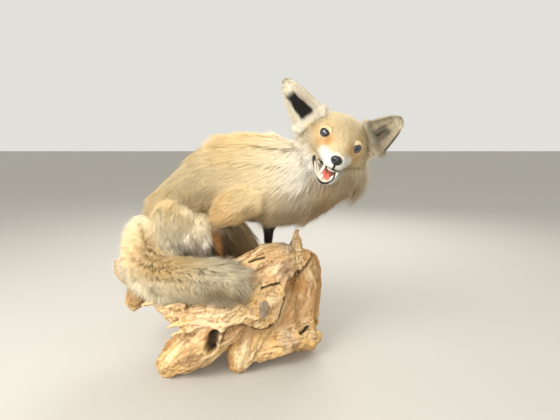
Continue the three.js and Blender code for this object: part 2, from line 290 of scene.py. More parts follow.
# ------------------------------------------------------------------ meshes
def read(rows, key, wide=3, kind=np.float32):
    """What every row of a mesh holds under a key, as an array."""
    out = np.empty(len(rows) * wide, kind)
    rows.foreach_get(key, out)
    return out.reshape(-1, wide)


def coords(mesh):
    return read(mesh.vertices, "co").astype(float)


def normals_of(mesh):
    return read(mesh.vertex_normals, "vector").astype(float)


def set_coords(mesh, points):
    mesh.vertices.foreach_set("co", np.asarray(points, np.float32).ravel())
    mesh.update()


def triangles_of(mesh):
    mesh.calc_loop_triangles()
    return read(mesh.loop_triangles, "vertices", 3, np.int32)


def surface(points, mesh):
    """A tree of these points under the mesh's triangles, to cast rays at and to find the nearest place on."""
    return BVHTree.FromPolygons([Vector(p) for p in points], [list(t) for t in triangles_of(mesh)])


def mesh_of(name, points, faces):
    """A mesh from an array of points and one of triangles or quads."""
    mesh = bpy.data.meshes.new(name)
    faces = np.asarray(faces, np.int32)
    mesh.vertices.add(len(points))
    mesh.vertices.foreach_set("co", np.asarray(points, np.float32).ravel())
    mesh.loops.add(faces.size)
    mesh.loops.foreach_set("vertex_index", faces.ravel())
    mesh.polygons.add(len(faces))
    mesh.polygons.foreach_set("loop_start", np.arange(len(faces), dtype=np.int32) * faces.shape[1])
    mesh.update(calc_edges=True)
    return mesh


def paint(mesh, colours):
    """Writes a linear colour for each point."""
    layer = mesh.attributes.new(PAINT, "FLOAT_COLOR", "POINT")
    rgba = np.ones((len(mesh.vertices), 4), np.float32)
    rgba[:, :3] = colours
    layer.data.foreach_set("color", rgba.ravel())


def placed(name, data):
    """A new object of the scene that holds this mesh, lamp or camera."""
    made = bpy.data.objects.new(name, data)
    bpy.context.scene.collection.objects.link(made)
    return made


def add_piece(name, mesh, finish, replaces=()):
    piece = placed(name, mesh)
    mesh.materials.clear()
    mesh.materials.append(finish)
    mesh.polygons.foreach_set("use_smooth", np.ones(len(mesh.polygons), bool))
    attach(piece, "root")
    if replaces:
        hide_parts(*replaces)
    return piece


def mesh_from(bm, name):
    mesh = bpy.data.meshes.new(name)
    bm.to_mesh(mesh)
    bm.free()
    return mesh


def rolled(name, around, along, place):
    """A closed skin: a sheet rolled up by place(turn, share), both from 0 to 1, with its seams welded."""
    sheet = bmesh.new()
    bmesh.ops.create_grid(sheet, x_segments=around, y_segments=along, size=0.5)
    laid = np.array([v.co for v in sheet.verts]) + 0.5
    for v, p in zip(sheet.verts, place(laid[:, 0], laid[:, 1])):
        v.co = p
    bmesh.ops.remove_doubles(sheet, verts=sheet.verts, dist=2e-6)
    bmesh.ops.recalc_face_normals(sheet, faces=sheet.faces)
    return mesh_from(sheet, name)


def cord(name, rows, around=10, along=30, squash=1.0, up=(0, 0, 1)):
    """A rounded cord through rows of the head's places and the half width there; squash flattens it."""
    rows = np.asarray(rows, float)
    line = smooth_line(rows, along + 1)
    ways = unit(np.gradient(line[:, :3], axis=0))
    side = unit(np.cross(ways, np.asarray(up, float)))
    rise = np.cross(side, ways)

    def place(turn, share):
        i = np.rint(share * along).astype(int)
        ends = np.sqrt(np.clip(1 - np.abs(2 * share - 1) ** 8, 0, 1))
        girth = (line[i, 3] * ends)[:, None]
        angle = (turn * 2 * math.pi)[:, None]
        return from_head(line[i, :3] + girth * (side[i] * np.cos(angle) + rise[i] * squash * np.sin(angle)))

    return rolled(name, around, along, place)


def merged(name, meshes):
    """These meshes as one."""
    whole = bmesh.new()
    for mesh in meshes:
        whole.from_mesh(mesh)
        bpy.data.meshes.remove(mesh)
    return mesh_from(whole, name)


def solid_copy(name):
    """A copy of one of the solids, with the corners of its facets welded."""
    part = bmesh.new()
    part.from_mesh(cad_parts[name].data)
    bmesh.ops.remove_doubles(part, verts=part.verts, dist=1e-6)
    return part


def swollen(name, swell):
    part = solid_copy(name)
    part.normal_update()
    for v in part.verts:
        v.co += v.normal * swell * MM
    return mesh_from(part, name + "_copy")


def fused(names, voxel, swell, fillers):
    """One closed skin round the fillers and copies of these solids, swollen a little so that they meet."""
    carrier = placed("carrier", merged("carrier", [*fillers, *(swollen(name, swell) for name in names)]))
    remesh = carrier.modifiers.new("fuse", "REMESH")
    remesh.mode = "VOXEL"
    remesh.voxel_size = voxel * MM
    made = bpy.data.meshes.new_from_object(carrier.evaluated_get(bpy.context.evaluated_depsgraph_get()))
    bpy.data.objects.remove(carrier)
    return made


class Neighbours:
    """Averages values over the points of a mesh that edges join."""

    def __init__(self, mesh):
        self.edges = read(mesh.edges, "vertices", 2, np.int32)
        self.count = len(mesh.vertices)
        self.total = np.maximum(np.bincount(self.edges.ravel(), minlength=self.count), 1)[:, None]

    def mean(self, values):
        a, b = self.edges.T
        out = np.empty_like(values)
        for c in range(values.shape[1]):
            out[:, c] = np.bincount(a, values[b, c], self.count)
            out[:, c] += np.bincount(b, values[a, c], self.count)
        return out / self.total

    def blur(self, values, rounds, share=0.6):
        values = np.asarray(values, float)
        wide = values if values.ndim > 1 else values[:, None]
        for _ in range(rounds):
            wide = wide + (self.mean(wide) - wide) * share
        return wide if values.ndim > 1 else wide[:, 0]

    def fair(self, points, rounds):
        """Smooths a shape without shrinking it."""
        for _ in range(rounds):
            points = points + 0.55 * (self.mean(points) - points)
            points = points - 0.58 * (self.mean(points) - points)
        return points


def node_samples(names, spacing):
    """Points all over these solids, about that far apart in mm, and the index of each one's solid."""
    found, labels = [], []
    for i, name in enumerate(names):
        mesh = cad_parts[name].data
        p, t = coords(mesh), triangles_of(mesh)
        a, b, c = p[t[:, 0]], p[t[:, 1]], p[t[:, 2]]
        area = np.linalg.norm(np.cross(b - a, c - a), axis=1) / 2
        count = np.maximum(1, np.ceil(area / (spacing * MM) ** 2)).astype(int)
        face = np.repeat(np.arange(len(t)), count)
        u = np.sqrt(RANDOM.random(len(face)))[:, None]
        v = RANDOM.random(len(face))[:, None]
        found.append(a[face] * (1 - u) + b[face] * u * (1 - v) + c[face] * u * v)
        labels.append(np.full(len(face), i))
    return np.vstack(found), np.concatenate(labels)


# ------------------------------------------------------------------ the skin
def ear_root(side):
    """The foot of an ear, which fills the notch it leaves in the head."""
    part = solid_copy(f"ear_{side}")
    ear = EARS[side]
    root, tip = from_head([ear["root"], ear["tip"]])
    everything = part.verts[:] + part.edges[:] + part.faces[:]
    above = root + (tip - root) * 0.05
    bmesh.ops.bisect_plane(part, geom=everything, plane_co=above, plane_no=tip - root, clear_outer=True)
    bmesh.ops.holes_fill(part, edges=part.edges)
    part.normal_update()
    across = unit(head_way(ear["across"]))
    for v in part.verts:
        v.co += v.normal * 1.2 * MM
        v.co -= Vector(across * float((np.array(v.co) - root) @ across) * 0.25)
    return mesh_from(part, f"ear_{side}_root")


def soft_ball(place, radius):
    ball = bmesh.new()
    middle = Matrix.Translation(spot(place))
    bmesh.ops.create_icosphere(ball, subdivisions=3, radius=radius * MM, matrix=middle)
    return mesh_from(ball, "soft_ball")


# The haunch's fur is full over the knee and the belly's fold.
FULLNESS = [((-92, -14, 246), 34), ((-80, -24, 232), 28), ((-66, -14, 250), 22)]
fillers = [ear_root(side) for side in EARS] + [soft_ball(*row) for row in FULLNESS]
outline = fused(FLESH, voxel=2.7, swell=0.5, fillers=fillers)
links = Neighbours(outline)
coat_tips = links.fair(coords(outline), 14)
set_coords(outline, coat_tips)
samples, sample_labels = node_samples(FLESH, 4.0)
label = sample_labels[nearest(coat_tips, samples)[0]]
SHARE = links.blur((label[:, None] == np.arange(len(FLESH))).astype(float), 14)


def belonging(shares, names):
    """How far each point belongs to these solids, from 0 to 1."""
    return shares[:, [FLESH.index(name) for name in names]].sum(axis=1)


def of(names):
    return belonging(SHARE, names)


in_head = to_head(coat_tips)
on_head = of(HEAD_NODES)


def head_depth(p):
    """Depth of the coat on the head in mm: thin on the muzzle, deep on the cheeks and under the jaw."""
    x, y, z = p.T
    depth = 1.2 + 2.0 * step(34, 4, x) + 3.0 * step(0, -40, x)
    depth = depth + 7.0 * step(30, 58, np.abs(y)) * step(0, -22, x)
    return depth + 5.0 * step(-42, -56, z) * step(14, -14, x) - 2.5 * step(-20, 6, z) * step(-20, -60, x)


# Depth of the coat on each other solid in mm: deep on the ruff and the brush, thin on the feet.
COAT_DEPTH = {
    "head": 0, "lower_jaw": 1.4, "neck": 15, "trunk": 14, "tail_base": 17, "tail_middle": 24, "tail_tip": 20,
    **{leg: 6 for leg in FORELEGS}, **{leg: 10 for leg in HIND_LEGS}, **{paw: 1.2 for paw in PAWS},
}
depth = SHARE @ np.array([COAT_DEPTH[name] for name in FLESH]) + of(["head"]) * head_depth(in_head)
depth = depth * (1 - 0.6 * of(HIND_LEGS) * step(215, 190, coat_tips[:, 2] / MM))
depth = depth * (1 - 0.55 * of(FORELEGS) * step(268, 246, coat_tips[:, 2] / MM))
depth = links.blur(depth, 16)

# Where the body is thin the coat is shallow too.
SINK_SHARE, OVER_SINK = 0.3, 8  # of the thickness, and how far in mm the tips may pass that
outline_tree = surface(coat_tips, outline)
outward = unit(links.blur(normals_of(outline), 4))
thickness = np.full(len(coat_tips), 200.0)
for i, (p, out) in enumerate(zip(coat_tips, outward)):
    through = outline_tree.ray_cast(Vector(p - out * MM), Vector(-out))[3]
    if through:
        thickness[i] = through / MM
sink = links.blur(np.minimum(depth, SINK_SHARE * links.blur(thickness, 6)), 8)
depth = np.minimum(depth, sink + OVER_SINK)

skin_points = coat_tips.copy()
SINKS = 6
for _ in range(SINKS):
    set_coords(outline, skin_points)
    out = unit(links.blur(normals_of(outline), 3))
    skin_points = links.blur(skin_points - out * (sink / SINKS * MM)[:, None], 1, 0.35)
set_coords(outline, skin_points)


def drawn_smooth(points, marked, spread, rounds):
    """The points, with the marked ones and those within that many edges of them drawn smooth."""
    marked = (links.blur(marked.astype(float), spread, 1.0) > 0.05)[:, None]
    for _ in range(rounds):
        points = np.where(marked, links.mean(points), points)
    return points


# Where the sinking has turned a fold over, the skin is drawn smooth.
for _ in range(3):
    over = dot(unit(normals_of(outline)), outward)[:, 0] < 0.35
    skin_points = drawn_smooth(skin_points, over, 3, 25)
    set_coords(outline, skin_points)

# Spurs that still stand up under the long coat are drawn in as well.
SPUR = 2.2  # mm that one stands out
open_ground = 1 - on_head - of(list(PAWS) + FORELEGS)
for _ in range(2):
    away = np.linalg.norm(skin_points - links.blur(skin_points, 10), axis=1)
    skin_points = drawn_smooth(skin_points, (away > SPUR * MM) & (open_ground > 0.5), 4, 40)
set_coords(outline, skin_points)

# Where the mouth lies open, as rows of the head's places and half its width there.
MOUTH = {"along": [8, 18, 30, 42, 52, 58, 62], "half": [27, 23, 18, 12.5, 9, 6, 3]}


def mouth_depth(h):
    """1 well inside the open mouth, 0 at its rim and outside it."""
    x, y, z = h.T
    half = np.interp(x, MOUTH["along"], MOUTH["half"])
    low = np.interp(x, [10, 40, 60], [-53, -59, -60])
    high = np.interp(x, [10, 40, 60], [-41, -38, -34])
    inside = step(8, 14, x) * step(62, 57, x) * step(1.0, 0.78, np.abs(y) / half)
    return inside * step(low - 1, low + 3, z) * step(high + 1, high - 2, z)


def modelled_face(points, normals):
    """Brow ridges, the dip between the eyes, whisker pads, snarl wrinkles and the hollow of the mouth."""
    h = to_head(points)
    up = (normals @ HEAD_TURN)[:, 2]
    lift = -1.4 * near(h, (24, 0, 6), (14, 8, 12))
    for side in (-1, 1):
        lift = lift + 1.9 * near(h, (-2, side * 25, 15), (9, 12, 6))
        lift = lift + 1.3 * near(h, (50, side * 11, -27), (12, 7, 8))
        lift = lift - 1.2 * near(h, (26, side * 21, -10), (14, 6, 6))
        folds = np.sin(h[:, 0] / 2.3 + side * h[:, 1] * 0.16 + h[:, 2] * 0.22)
        lift = lift + 0.5 * folds * near(h, (40, side * 16, -13), (11, 7, 7))
    h = h + (normals @ HEAD_TURN) * lift[:, None]
    open_mouth = mouth_depth(h)
    floor, roof = step(-0.1, 0.5, up), step(0.1, -0.5, up)
    h[:, 2] += open_mouth * (3.0 * roof - 5.0 * floor * step(10, 30, h[:, 0]))
    return from_head(h)


face_points = modelled_face(skin_points, normals_of(outline))
skin_points = np.where((on_head > 0.5)[:, None], face_points, skin_points)
set_coords(outline, skin_points)
skin_mesh = outline
skin_normals = unit(links.blur(normals_of(outline), 2))

# ------------------------------------------------------------------ how the coat lies
mm_points = skin_points / MM - CENTRING
head_points = to_head(skin_points)
spine_line, tail_line = smooth_line(SPINE), smooth_line(TAIL)
DOWN = np.array([0.0, 0.0, -1.0])


def lie_on_body():
    forward, _, _ = beside(mm_points, spine_line)
    sag = 0.55 + 0.9 * step(40, 150, mm_points[:, 0]) + 0.7 * step(-40, -170, mm_points[:, 0])
    return unit(sag[:, None] * DOWN - forward)


def lie_on_brush():
    """The brush is combed outwards from its curl and down, and on its front mostly along and down."""
    x, y, _ = mm_points.T
    along = beside(mm_points, tail_line)[0]
    out = unit(np.stack([x + 105, y - 20, np.zeros(len(x))], axis=1))
    front = step(-195, -130, x)[:, None]
    return unit((0.5 + 0.5 * front) * along + (1 - 0.7 * front) * out + (0.45 + 0.75 * front) * DOWN)


def lie_on_head():
    x, y, z = head_points.T
    away = unit(head_points - np.array([86, 0, -16]))
    drop = -0.5 * step(20, -40, z) * step(14, 44, np.abs(y))
    back = np.stack([-np.ones(len(x)), 0.9 * y / 60, drop], axis=1)
    return unit(0.7 * away + unit(back)) @ HEAD_TURN.T


def lie_along(places):
    return beside(mm_points, smooth_line(places))[0]


lie = of(TRUNK_NODES)[:, None] * lie_on_body() + on_head[:, None] * lie_on_head()
lie += of(TAIL_NODES)[:, None] * lie_on_brush()
for leg, places in LEG_LINES.items():
    lie += of([leg])[:, None] * lie_along(places)
for paw, places in PAWS.items():
    lie += of([paw])[:, None] * unit(np.subtract(places[1], places[0]))
for _ in range(10):
    lie = flat(links.blur(lie, 2), skin_normals)

# ------------------------------------------------------------------ the coat's colours
PALETTE = {name: linear(code) for name, code in {
    "straw": "#f2ddae", "gold": "#e8c684", "cream": "#f8eed3", "white": "#fbf9f0", "umber": "#a3875c",
    "dusk": "#c4ae84", "orange": "#e8b35c", "amber": "#e0a552", "rust": "#c98f48", "dark": "#5a4023",
    "black": "#0c0907", "fawn": "#ac9873", "tan": "#d9ae68", "ear_dusk": "#b3a283", "ear_edge": "#2b2019",
    "ear_seam": "#efe6d0", "ear_tip": "#8c7a5f", "ear_back": "#c9ad7c", "ear_shade": "#6b5338",
    "pupil": "#050506", "iris": "#22262c", "iris_pale": "#56606c", "sclera": "#121110", "rim": "#1b1512",
    "lid": "#b7a68b", "leather": "#141312", "lip": "#0e0c0b", "gum": "#d6bfa9", "flesh": "#b98478",
    "palate": "#7c7c72", "coral": "#e2796a", "ivory": "#ebe3d0", "horn": "#2a221b",
}.items()}


def all_over(name, points):
    """One colour of the palette for every point."""
    return np.tile(PALETTE[name], (len(points), 1))


def blend(base, name, share):
    return mixed(base, PALETTE[name], share)


def body_colour(p, normals):
    """The trunk, neck and limbs: straw and gold on the back, cream below, white on the chest."""
    x = p[:, 0]
    patch = noise(p, 34, 5)
    fine = noise(p, 13, 6)
    chest = step(70, 135, x) * step(0.75, 0.1, normals[:, 2])
    # Where the coat faces down, and low on the chest's front: the mask of painted shade below.
    belly = step(0.1, -0.7, normals[:, 2] - 0.4 * step(60, 150, x) * step(-0.2, 0.4, -normals[:, 1]))
    return layered(all_over("straw", p), [
        ("gold", 0.55 * step(0.25, 0.9, normals[:, 2] + 0.25 * patch)),
        ("cream", 0.75 * step(0.35, -0.5, normals[:, 2] + 0.3 * patch) * step(20, -120, x)),
        ("gold", 0.2 * step(0.1, 0.8, patch + 0.4 * fine)),
        ("white", 0.75 * chest * step(-0.5, 0.4, patch + 0.5)),
        ("white", 0.7 * near(p, (112, -70, 380), (50, 50, 60))),
        # Painted shade: umber under the chin and low on the chest, dusk on the front of the ruff, umber under
        # the belly.
        ("umber", 0.9 * near(p, (164, -70, 322), (60, 60, 26))),
        ("dusk", 0.4 * near(p, (205, -20, 345), (40, 60, 40))),
        ("umber", 0.5 * near(p, (118, -60, 312), (36, 60, 16))),
        ("umber", 0.75 * belly),
        ("umber", 0.14 * step(0.35, 0.9, fine - 0.3 * patch)),
    ], PALETTE)


def leg_colour(p, base):
    """An orange elbow, a pale haunch and knee, and painted shade in the crease between them."""
    x, y, z = p.T
    crease = step(5, 1.5, np.abs(x + 103 + 0.12 * (z - 240))) * step(212, 224, z)
    return layered(base, [
        ("orange", 0.55 * near(p, (-40, -104, 296), (46, 60, 36))),
        ("cream", 0.9 * near(p, (-140, -40, 235), (60, 70, 44))),
        ("white", 0.6 * near(p, (-80, -50, 238), (40, 40, 36))),
        # Painted shade: a thin umber line in the crease.
        ("umber", 0.6 * (crease * step(270, 255, z) * step(-20, -34, y))),
    ], PALETTE)


def head_colour(h):
    """The mask: buff brow, orange round the eyes, white sides to the muzzle and pale cheeks."""
    x, y, z = h.T
    side = np.abs(y)
    patch = noise(h, 16, 9)
    layers = [
        ("gold", 0.35 * step(-0.1, 0.7, patch) * step(-70, -10, x)),
        ("cream", 0.5 * step(34, 60, side) * step(0, -30, z)),
    ]
    for eye in EYES.values():
        inner = eye + np.array([16, -0.32 * eye[1], -8])
        below = eye + np.array([8, 0.1 * eye[1], -17])
        behind = eye + np.array([-8, 0.45 * eye[1], -3])
        above = eye + np.array([-6, -0.1 * eye[1], 14])
        layers += [
            ("amber", 0.9 * near(h, inner, (14, 8, 11))), ("orange", 0.7 * near(h, below, (14, 12, 8))),
            ("orange", 0.5 * near(h, behind, (10, 9, 8))), ("orange", 0.3 * near(h, above, (10, 12, 6))),
        ]
    # Painted shade: umber in two creases behind the mouth on the left cheek, and dusk low on the right jaw.
    crease = near(h, (20, 33, -31), (12, 8, 3.0)) + near(h, (6, 47, -37), (10, 10, 3.0))
    layers += [
        ("white", 0.95 * (step(14, 30, x) * step(-7, -15, z + 0.14 * side) * step(34, 26, side))),
        ("white", 0.85 * step(-36, -44, z) * step(-6, 12, x)),
        ("umber", 0.8 * crease),
        ("dusk", 0.5 * near(h, (20, -36, -30), (16, 9, 8))),
        ("white", 0.6 * near(h, (-10, -58, -40), (30, 22, 22))),
    ]
    return layered(all_over("straw", h), layers, PALETTE)


def tail_colour(p, normals):
    """The brush: golden brown along its upper side, pale fringes, painted brown shade under the tip."""
    _, along, _ = beside(p, tail_line)
    patch = noise(p, 20, 12)
    top = step(-0.2, 0.7, normals[:, 2] + 0.3 * patch)
    under = step(0.0, -0.8, normals[:, 2] + 0.25 * patch)
    return layered(all_over("cream", p), [
        ("straw", np.full(len(p), 0.3)),
        ("gold", 0.5 * top * step(0.75, 0.55, along) * step(0.1, 0.3, along)),
        ("gold", 0.7 * near(p, (-150, -100, 205), (44, 34, 28))),
        ("tan", 0.6 * near(p, (-168, -30, 228), (26, 44, 22))),
        # Painted shade: umber and dark under the brush, deepest where it lies low over the wood.
        ("umber", 0.25 * under * step(0.55, 0.75, along)),
        ("umber", 0.85 * near(p, (-56, -132, 178), (48, 44, 16))),
        ("umber", 0.6 * near(p, (-8, -130, 160), (36, 44, 14))),
        ("dark", 0.5 * near(p, (0, -134, 158), (40, 34, 16))),
        ("cream", 0.5 * step(0.2, 0.8, -patch) * (1 - under)),
    ], PALETTE)


def coat_colour(p, h, normals, shares):
    """The colour of the coat at places of the body and of the head, by how far each solid holds them."""

    def part(names):
        return belonging(shares, names)

    height = p[:, 2]
    stockings = part(FORELEGS) * step(272, 256, height)
    near_leg = part(["fore_leg_right"]) * step(276, 262, height)
    base = layered(leg_colour(p, body_colour(p, normals)), [
        ("dark", 0.95 * stockings),
        ("black", 0.9 * stockings * part(["fore_leg_left"])),
        ("rust", 0.8 * near_leg * step(-0.6, 0.2, -normals[:, 0])),
        ("dark", 0.8 * part(["fore_leg_right"]) * near(p, (-30, -100, 268), (60, 60, 8))),
        ("dark", 0.9 * part(list(PAWS))),
        # The far hind leg under the belly: fawn, its own grey-brown fur darkened by painted shade.
        ("fawn", 0.85 * part(["hind_leg_left"]) * step(290, 235, height)),
    ], PALETTE)
    face = part(HEAD_NODES)[:, None]
    brush = part(TAIL_NODES)[:, None]
    base = base * (1 - face) + head_colour(h) * face
    return base * (1 - brush) + tail_colour(p, normals) * brush


def unwrapped(piece):
    """Unwraps a skin by its own shape, for baking, and returns each corner's place on the map."""
    for other in bpy.context.selected_objects:
        other.select_set(False)
    bpy.context.view_layer.objects.active = piece
    piece.select_set(True)
    bpy.ops.object.mode_set(mode="EDIT")
    bpy.ops.mesh.select_all(action="SELECT")
    bpy.ops.uv.smart_project(angle_limit=math.radians(70), island_margin=0.002)
    bpy.ops.object.mode_set(mode="OBJECT")
    layer = piece.data.uv_layers.active
    layer.name = "OFBake"
    return read(layer.data, "uv", 2)


# ------------------------------------------------------------------ tufts
SQUARE_CM = 1e4  # in a square metre
STRAY = 0.16  # how far a tuft's way may wander from the coat's
SHORTEST, LONGEST = 0.0022, 0.062  # of a tuft, in metres


def sow(mesh, map_places, density, values):
    """Roots scattered over a skin, so many to the square centimetre, with the skin's values at each."""
    triangles = triangles_of(mesh)
    corners = read(mesh.loop_triangles, "loops", 3, np.int32)
    a, b, c = (coords(mesh)[triangles[:, k]] for k in range(3))
    area = np.linalg.norm(np.cross(b - a, c - a), axis=1) / 2
    expected = area * SQUARE_CM * density[triangles].mean(axis=1)
    count = np.floor(expected + RANDOM.random(len(expected))).astype(int)
    face = np.repeat(np.arange(len(count)), count)
    RANDOM.shuffle(face)
    s = np.sqrt(RANDOM.random(len(face)))
    t = RANDOM.random(len(face))
    shares = np.stack([1 - s, s * (1 - t), s * t], axis=1)
    roots = {"map": (map_places[corners[face]] * shares[:, :, None]).sum(axis=1)}
    for name, held in {"at": coords(mesh), **values}.items():
        picked = np.asarray(held)[triangles[face]]
        roots[name] = (picked * shares.reshape((len(face), 3) + (1,) * (picked.ndim - 2))).sum(axis=1)
    roots["up"] = unit(roots["up"])
    roots["way"] = flat(roots["way"], roots["up"])
    return roots


def comb(roots, clump, longest=LONGEST):
    """Lays a tuft at each root: it leans the way of the coat, and draws in to its clump's leader."""
    count = len(roots["at"])
    at, up = roots["at"], roots["up"]
    way = unit(roots["way"] + np.cross(up, roots["way"]) * RANDOM.normal(0, STRAY, (count, 1)))
    way = flat(way, up)
    lean_root = np.radians(roots["lean_root"] + RANDOM.normal(0, 5, count))
    lean_tip = np.radians(roots["lean_tip"] + RANDOM.normal(0, 5, count))
    rise = np.maximum((np.sin(lean_root) + np.sin(lean_tip)) / 2, 0.16)
    length = roots["reach"] * MM / rise * RANDOM.uniform(0.8, 1.08, count)
    length = np.clip(length, SHORTEST, longest)[:, None]
    first = way * np.cos(lean_root)[:, None] + up * np.sin(lean_root)[:, None]
    second = way * np.cos(lean_tip)[:, None] + up * np.sin(lean_tip)[:, None]
    middle = at + first * length / 2
    tip = middle + second * length / 2
    leaders = np.arange(0, count, clump)
    leader = leaders[nearest(at, at[leaders])[0]]
    held = roots["gather"][:, None] * RANDOM.uniform(0.6, 1.15, (count, 1))
    held = held * (dot(way, way[leader]) > 0.6) * (np.abs(length - length[leader]) < 0.4 * length)
    roots["tip"] = tip + (tip[leader] - tip) * held
    roots["middle"] = middle + (middle[leader] - middle) * held * 0.5
    places = at / MM
    tone = 1 + RANDOM.normal(0, 0.05, count)
    tone = tone + 0.05 * noise(places[leader], 4, 3) + 0.05 * noise(places, 24, 4)
    roots["tint"] = roots["tint"] * np.clip(tone, 0.7, 1.2)[:, None]
    return roots


def tuft_mesh(name, points, patch, tones, faces):
    """One mesh of many alike tufts: for each point of a tuft, all its places, map places and tones."""
    each, count = len(points), len(points[0])
    points, patch, tones = (np.stack(v, axis=1).reshape(count * each, -1) for v in (points, patch, tones))
    faces = (np.arange(count)[:, None, None] * each + np.array(faces)).reshape(-1, 3)
    mesh = mesh_of(name, points, faces)
    paint(mesh, tones)
    layer = mesh.uv_layers.new(name="OFBake")
    layer.data.foreach_set("uv", patch[faces.ravel()].astype(np.float32).ravel())
    return mesh


BEND_AT, BEND_TONE, TIP_TONE = 0.45, 0.97, 1.04
PATCH = 0.0014  # half the size of a tuft's own patch of the map


def blades(name, tufts, pick):
    """The picked tufts as one mesh: flattened three-sided blades that bend once and end in a point."""
    at, middle, tip, up, tint, place, wide = (
        tufts[key][pick] for key in ("at", "middle", "tip", "up", "tint", "map", "wide")
    )
    points, patch, tones = [], [], []
    for t, girth, tone in ((0.0, 0.9, 1.0), (BEND_AT, 0.85, BEND_TONE)):
        p = at * (1 - t) ** 2 + 2 * t * (1 - t) * middle + t * t * tip
        along = unit((middle - at) * (1 - t) + (tip - middle) * t)
        side = unit(np.cross(along, up))
        lift = np.cross(side, along)
        half = (wide * MM / 2 * girth)[:, None]
        for sideways, above in ((-1, -0.15), (1, -0.15), (0, 0.45)):
            points.append(p + side * half * sideways + lift * half * above)
            patch.append(place + PATCH * np.array([sideways, 2 * t - 1]))
            tones.append(tint * tone)
    points.append(tip)
    patch.append(place + np.array([0, PATCH]))
    tones.append(tint * TIP_TONE)
    faces = [(0, 2, 1)]
    for i, j in ((0, 1), (1, 2), (2, 0)):
        faces += [(i, j, j + 3), (i, j + 3, i + 3), (i + 3, j + 3, 6)]
    return tuft_mesh(name, points, patch, tones, faces)


def spikes(name, tufts, pick):
    """The picked tufts as one mesh of straight three-sided spikes, for short hair."""
    at, tip, up, tint, place, wide = (tufts[key][pick] for key in ("at", "tip", "up", "tint", "map", "wide"))
    along = unit(tip - at)
    side = unit(np.cross(along, up))
    lift = np.cross(side, along)
    half = (wide * MM / 2)[:, None]
    foot = ((-1, -0.15), (1, -0.15), (0, 0.5))
    points = [at + side * half * sideways + lift * half * above for sideways, above in foot] + [tip]
    patch = [place + PATCH * np.array(way) for way in ((-1, -1), (1, -1), (0, -1), (0, 1))]
    tones = [tint] * 3 + [tint * TIP_TONE]
    return tuft_mesh(name, points, patch, tones, [(0, 2, 1), (0, 1, 3), (1, 2, 3), (2, 0, 3)])


MOST = {blades: 19000, spikes: 47000}  # tufts to a piece, at ten and four triangles each


def coat_pieces(name, tufts, members, shape):
    """These tufts as pieces of the coat, as many as their number needs."""
    lots = np.array_split(members, max(1, math.ceil(len(members) / MOST[shape])))
    for i, lot in enumerate(lots):
        full_name = f"coat_{name}_{i + 1}"
        add_piece(full_name, shape(full_name, tufts, lot), FUR)


def short_coat(name, piece, density, longest, values):
    """A coat of spikes over a small piece of hide."""
    mesh = piece.data
    roots = sow(mesh, unwrapped(piece), density, {"up": normals_of(mesh), **values})
    tufts = comb(roots, clump=6, longest=longest)
    coat_pieces(name, tufts, np.arange(len(roots["at"])), spikes)


# ------------------------------------------------------------------ skin and coat
EYE_CLEAR = 10.4  # mm from the eye's centre to the first tufts
eye_clear = np.ones(len(skin_points))
for eye in EYES.values():
    eye_clear *= step(EYE_CLEAR, EYE_CLEAR + 0.8, np.linalg.norm(head_points - eye, axis=1))

# The lips and the black edge of the mouth: rows of the head's places and half the width there.
LIPS = {
    "lower": [
        (10, -29, -38, 0.9), (12.5, -30.5, -41.5, 2.9), (16.5, -28.8, -46.5, 2.8), (22, -25.5, -52, 1.3),
        (28, -22.8, -56, 1.6), (36, -19, -59.5, 1.1), (44, -14.5, -62, 1.4), (51, -9, -63.6, 2.3),
        (57, -3, -63, 2.6), (58, 3, -60, 2.2), (54, 8, -56, 1.2), (49, 10.5, -51, 1.7), (44, 12, -44, 1.6),
    ],
    "upper": [
        (18, -26, -39.5, 0.8), (26, -22, -42, 0.9), (32, -18.6, -42.3, 2.0), (39, -14.4, -41.6, 2.0),
        (45, -10.5, -40.8, 0.9), (51, -6, -40.2, 1.3), (58, -2, -38.6, 1.5), (63, 2.4, -35.8, 1.4),
        (60, 8, -36.4, 1.0), (54, 13.5, -39.3, 0.9), (46, 17.5, -41.5, 0.7),
    ],
    "cleft": [(71, 0.6, -23.5, 1.6), (68.5, 0.6, -29, 1.7), (64.5, 1.6, -35.8, 1.6)],
}
bare = np.zeros(len(skin_points))
for rows in LIPS.values():
    line = smooth_line(rows)
    _, along, apart = beside(head_points, line[:, :3])
    lip_width = np.interp(along, np.linspace(0, 1, len(line)), line[:, 3])
    bare = np.maximum(bare, step(1.6, 0.6, apart - lip_width))
bare = np.maximum(bare, mouth_depth(head_points))
from_nose = np.linalg.norm((head_points - NOSE) / np.array([9, 10.2, 8.8]), axis=1)
bare = np.maximum(bare, step(1.12, 0.95, from_nose))
bare = bare * (on_head > 0.5)

# For each solid: tufts to the square centimetre, a tuft's width in mm, its lean at the root and
# at the tip in degrees, and how far its tip is drawn in to its clump's.
COATS = {
    "head": (90, 0.6, 30, 10, 0.25), "lower_jaw": (110, 0.5, 26, 12, 0.2),
    "neck": (42, 0.9, 34, 10, 0.3), "trunk": (40, 0.95, 32, 8, 0.3),
    "tail_base": (56, 1.15, 38, 20, 0.2), "tail_middle": (62, 1.15, 40, 20, 0.2),
    "tail_tip": (62, 1.15, 40, 20, 0.2),
    "fore_leg_right": (40, 0.8, 30, 8, 0.3), "fore_leg_left": (30, 0.8, 30, 8, 0.3),
    "hind_leg_right": (36, 0.95, 30, 8, 0.3), "hind_leg_left": (22, 1.0, 30, 8, 0.3),
}
COATS.update({paw: (60, 0.55, 20, 8, 0.2) for paw in PAWS})
density, width, lean_root, lean_tip, gather = (SHARE @ np.array([COATS[name] for name in FLESH])).T
density = density * eye_clear * (1 - step(0.3, 0.7, bare))
parting = of(TAIL_NODES) * step(0.5, 0.9, skin_normals[:, 2])
density = density * (1 + 0.8 * parting)
long_haired = np.clip(of(TRUNK_NODES) + of(TAIL_NODES) + of(["hind_leg_right"]), 0, 1)
reach = np.maximum(depth, 7.0 * long_haired) + 3.5 * of(["lower_jaw"])
reach = reach + 7.0 * on_head * step(-42, -70, head_points[:, 0])
reach = reach * (1 - 0.35 * of(TAIL_NODES) * step(-0.2, -0.8, skin_normals[:, 1]))

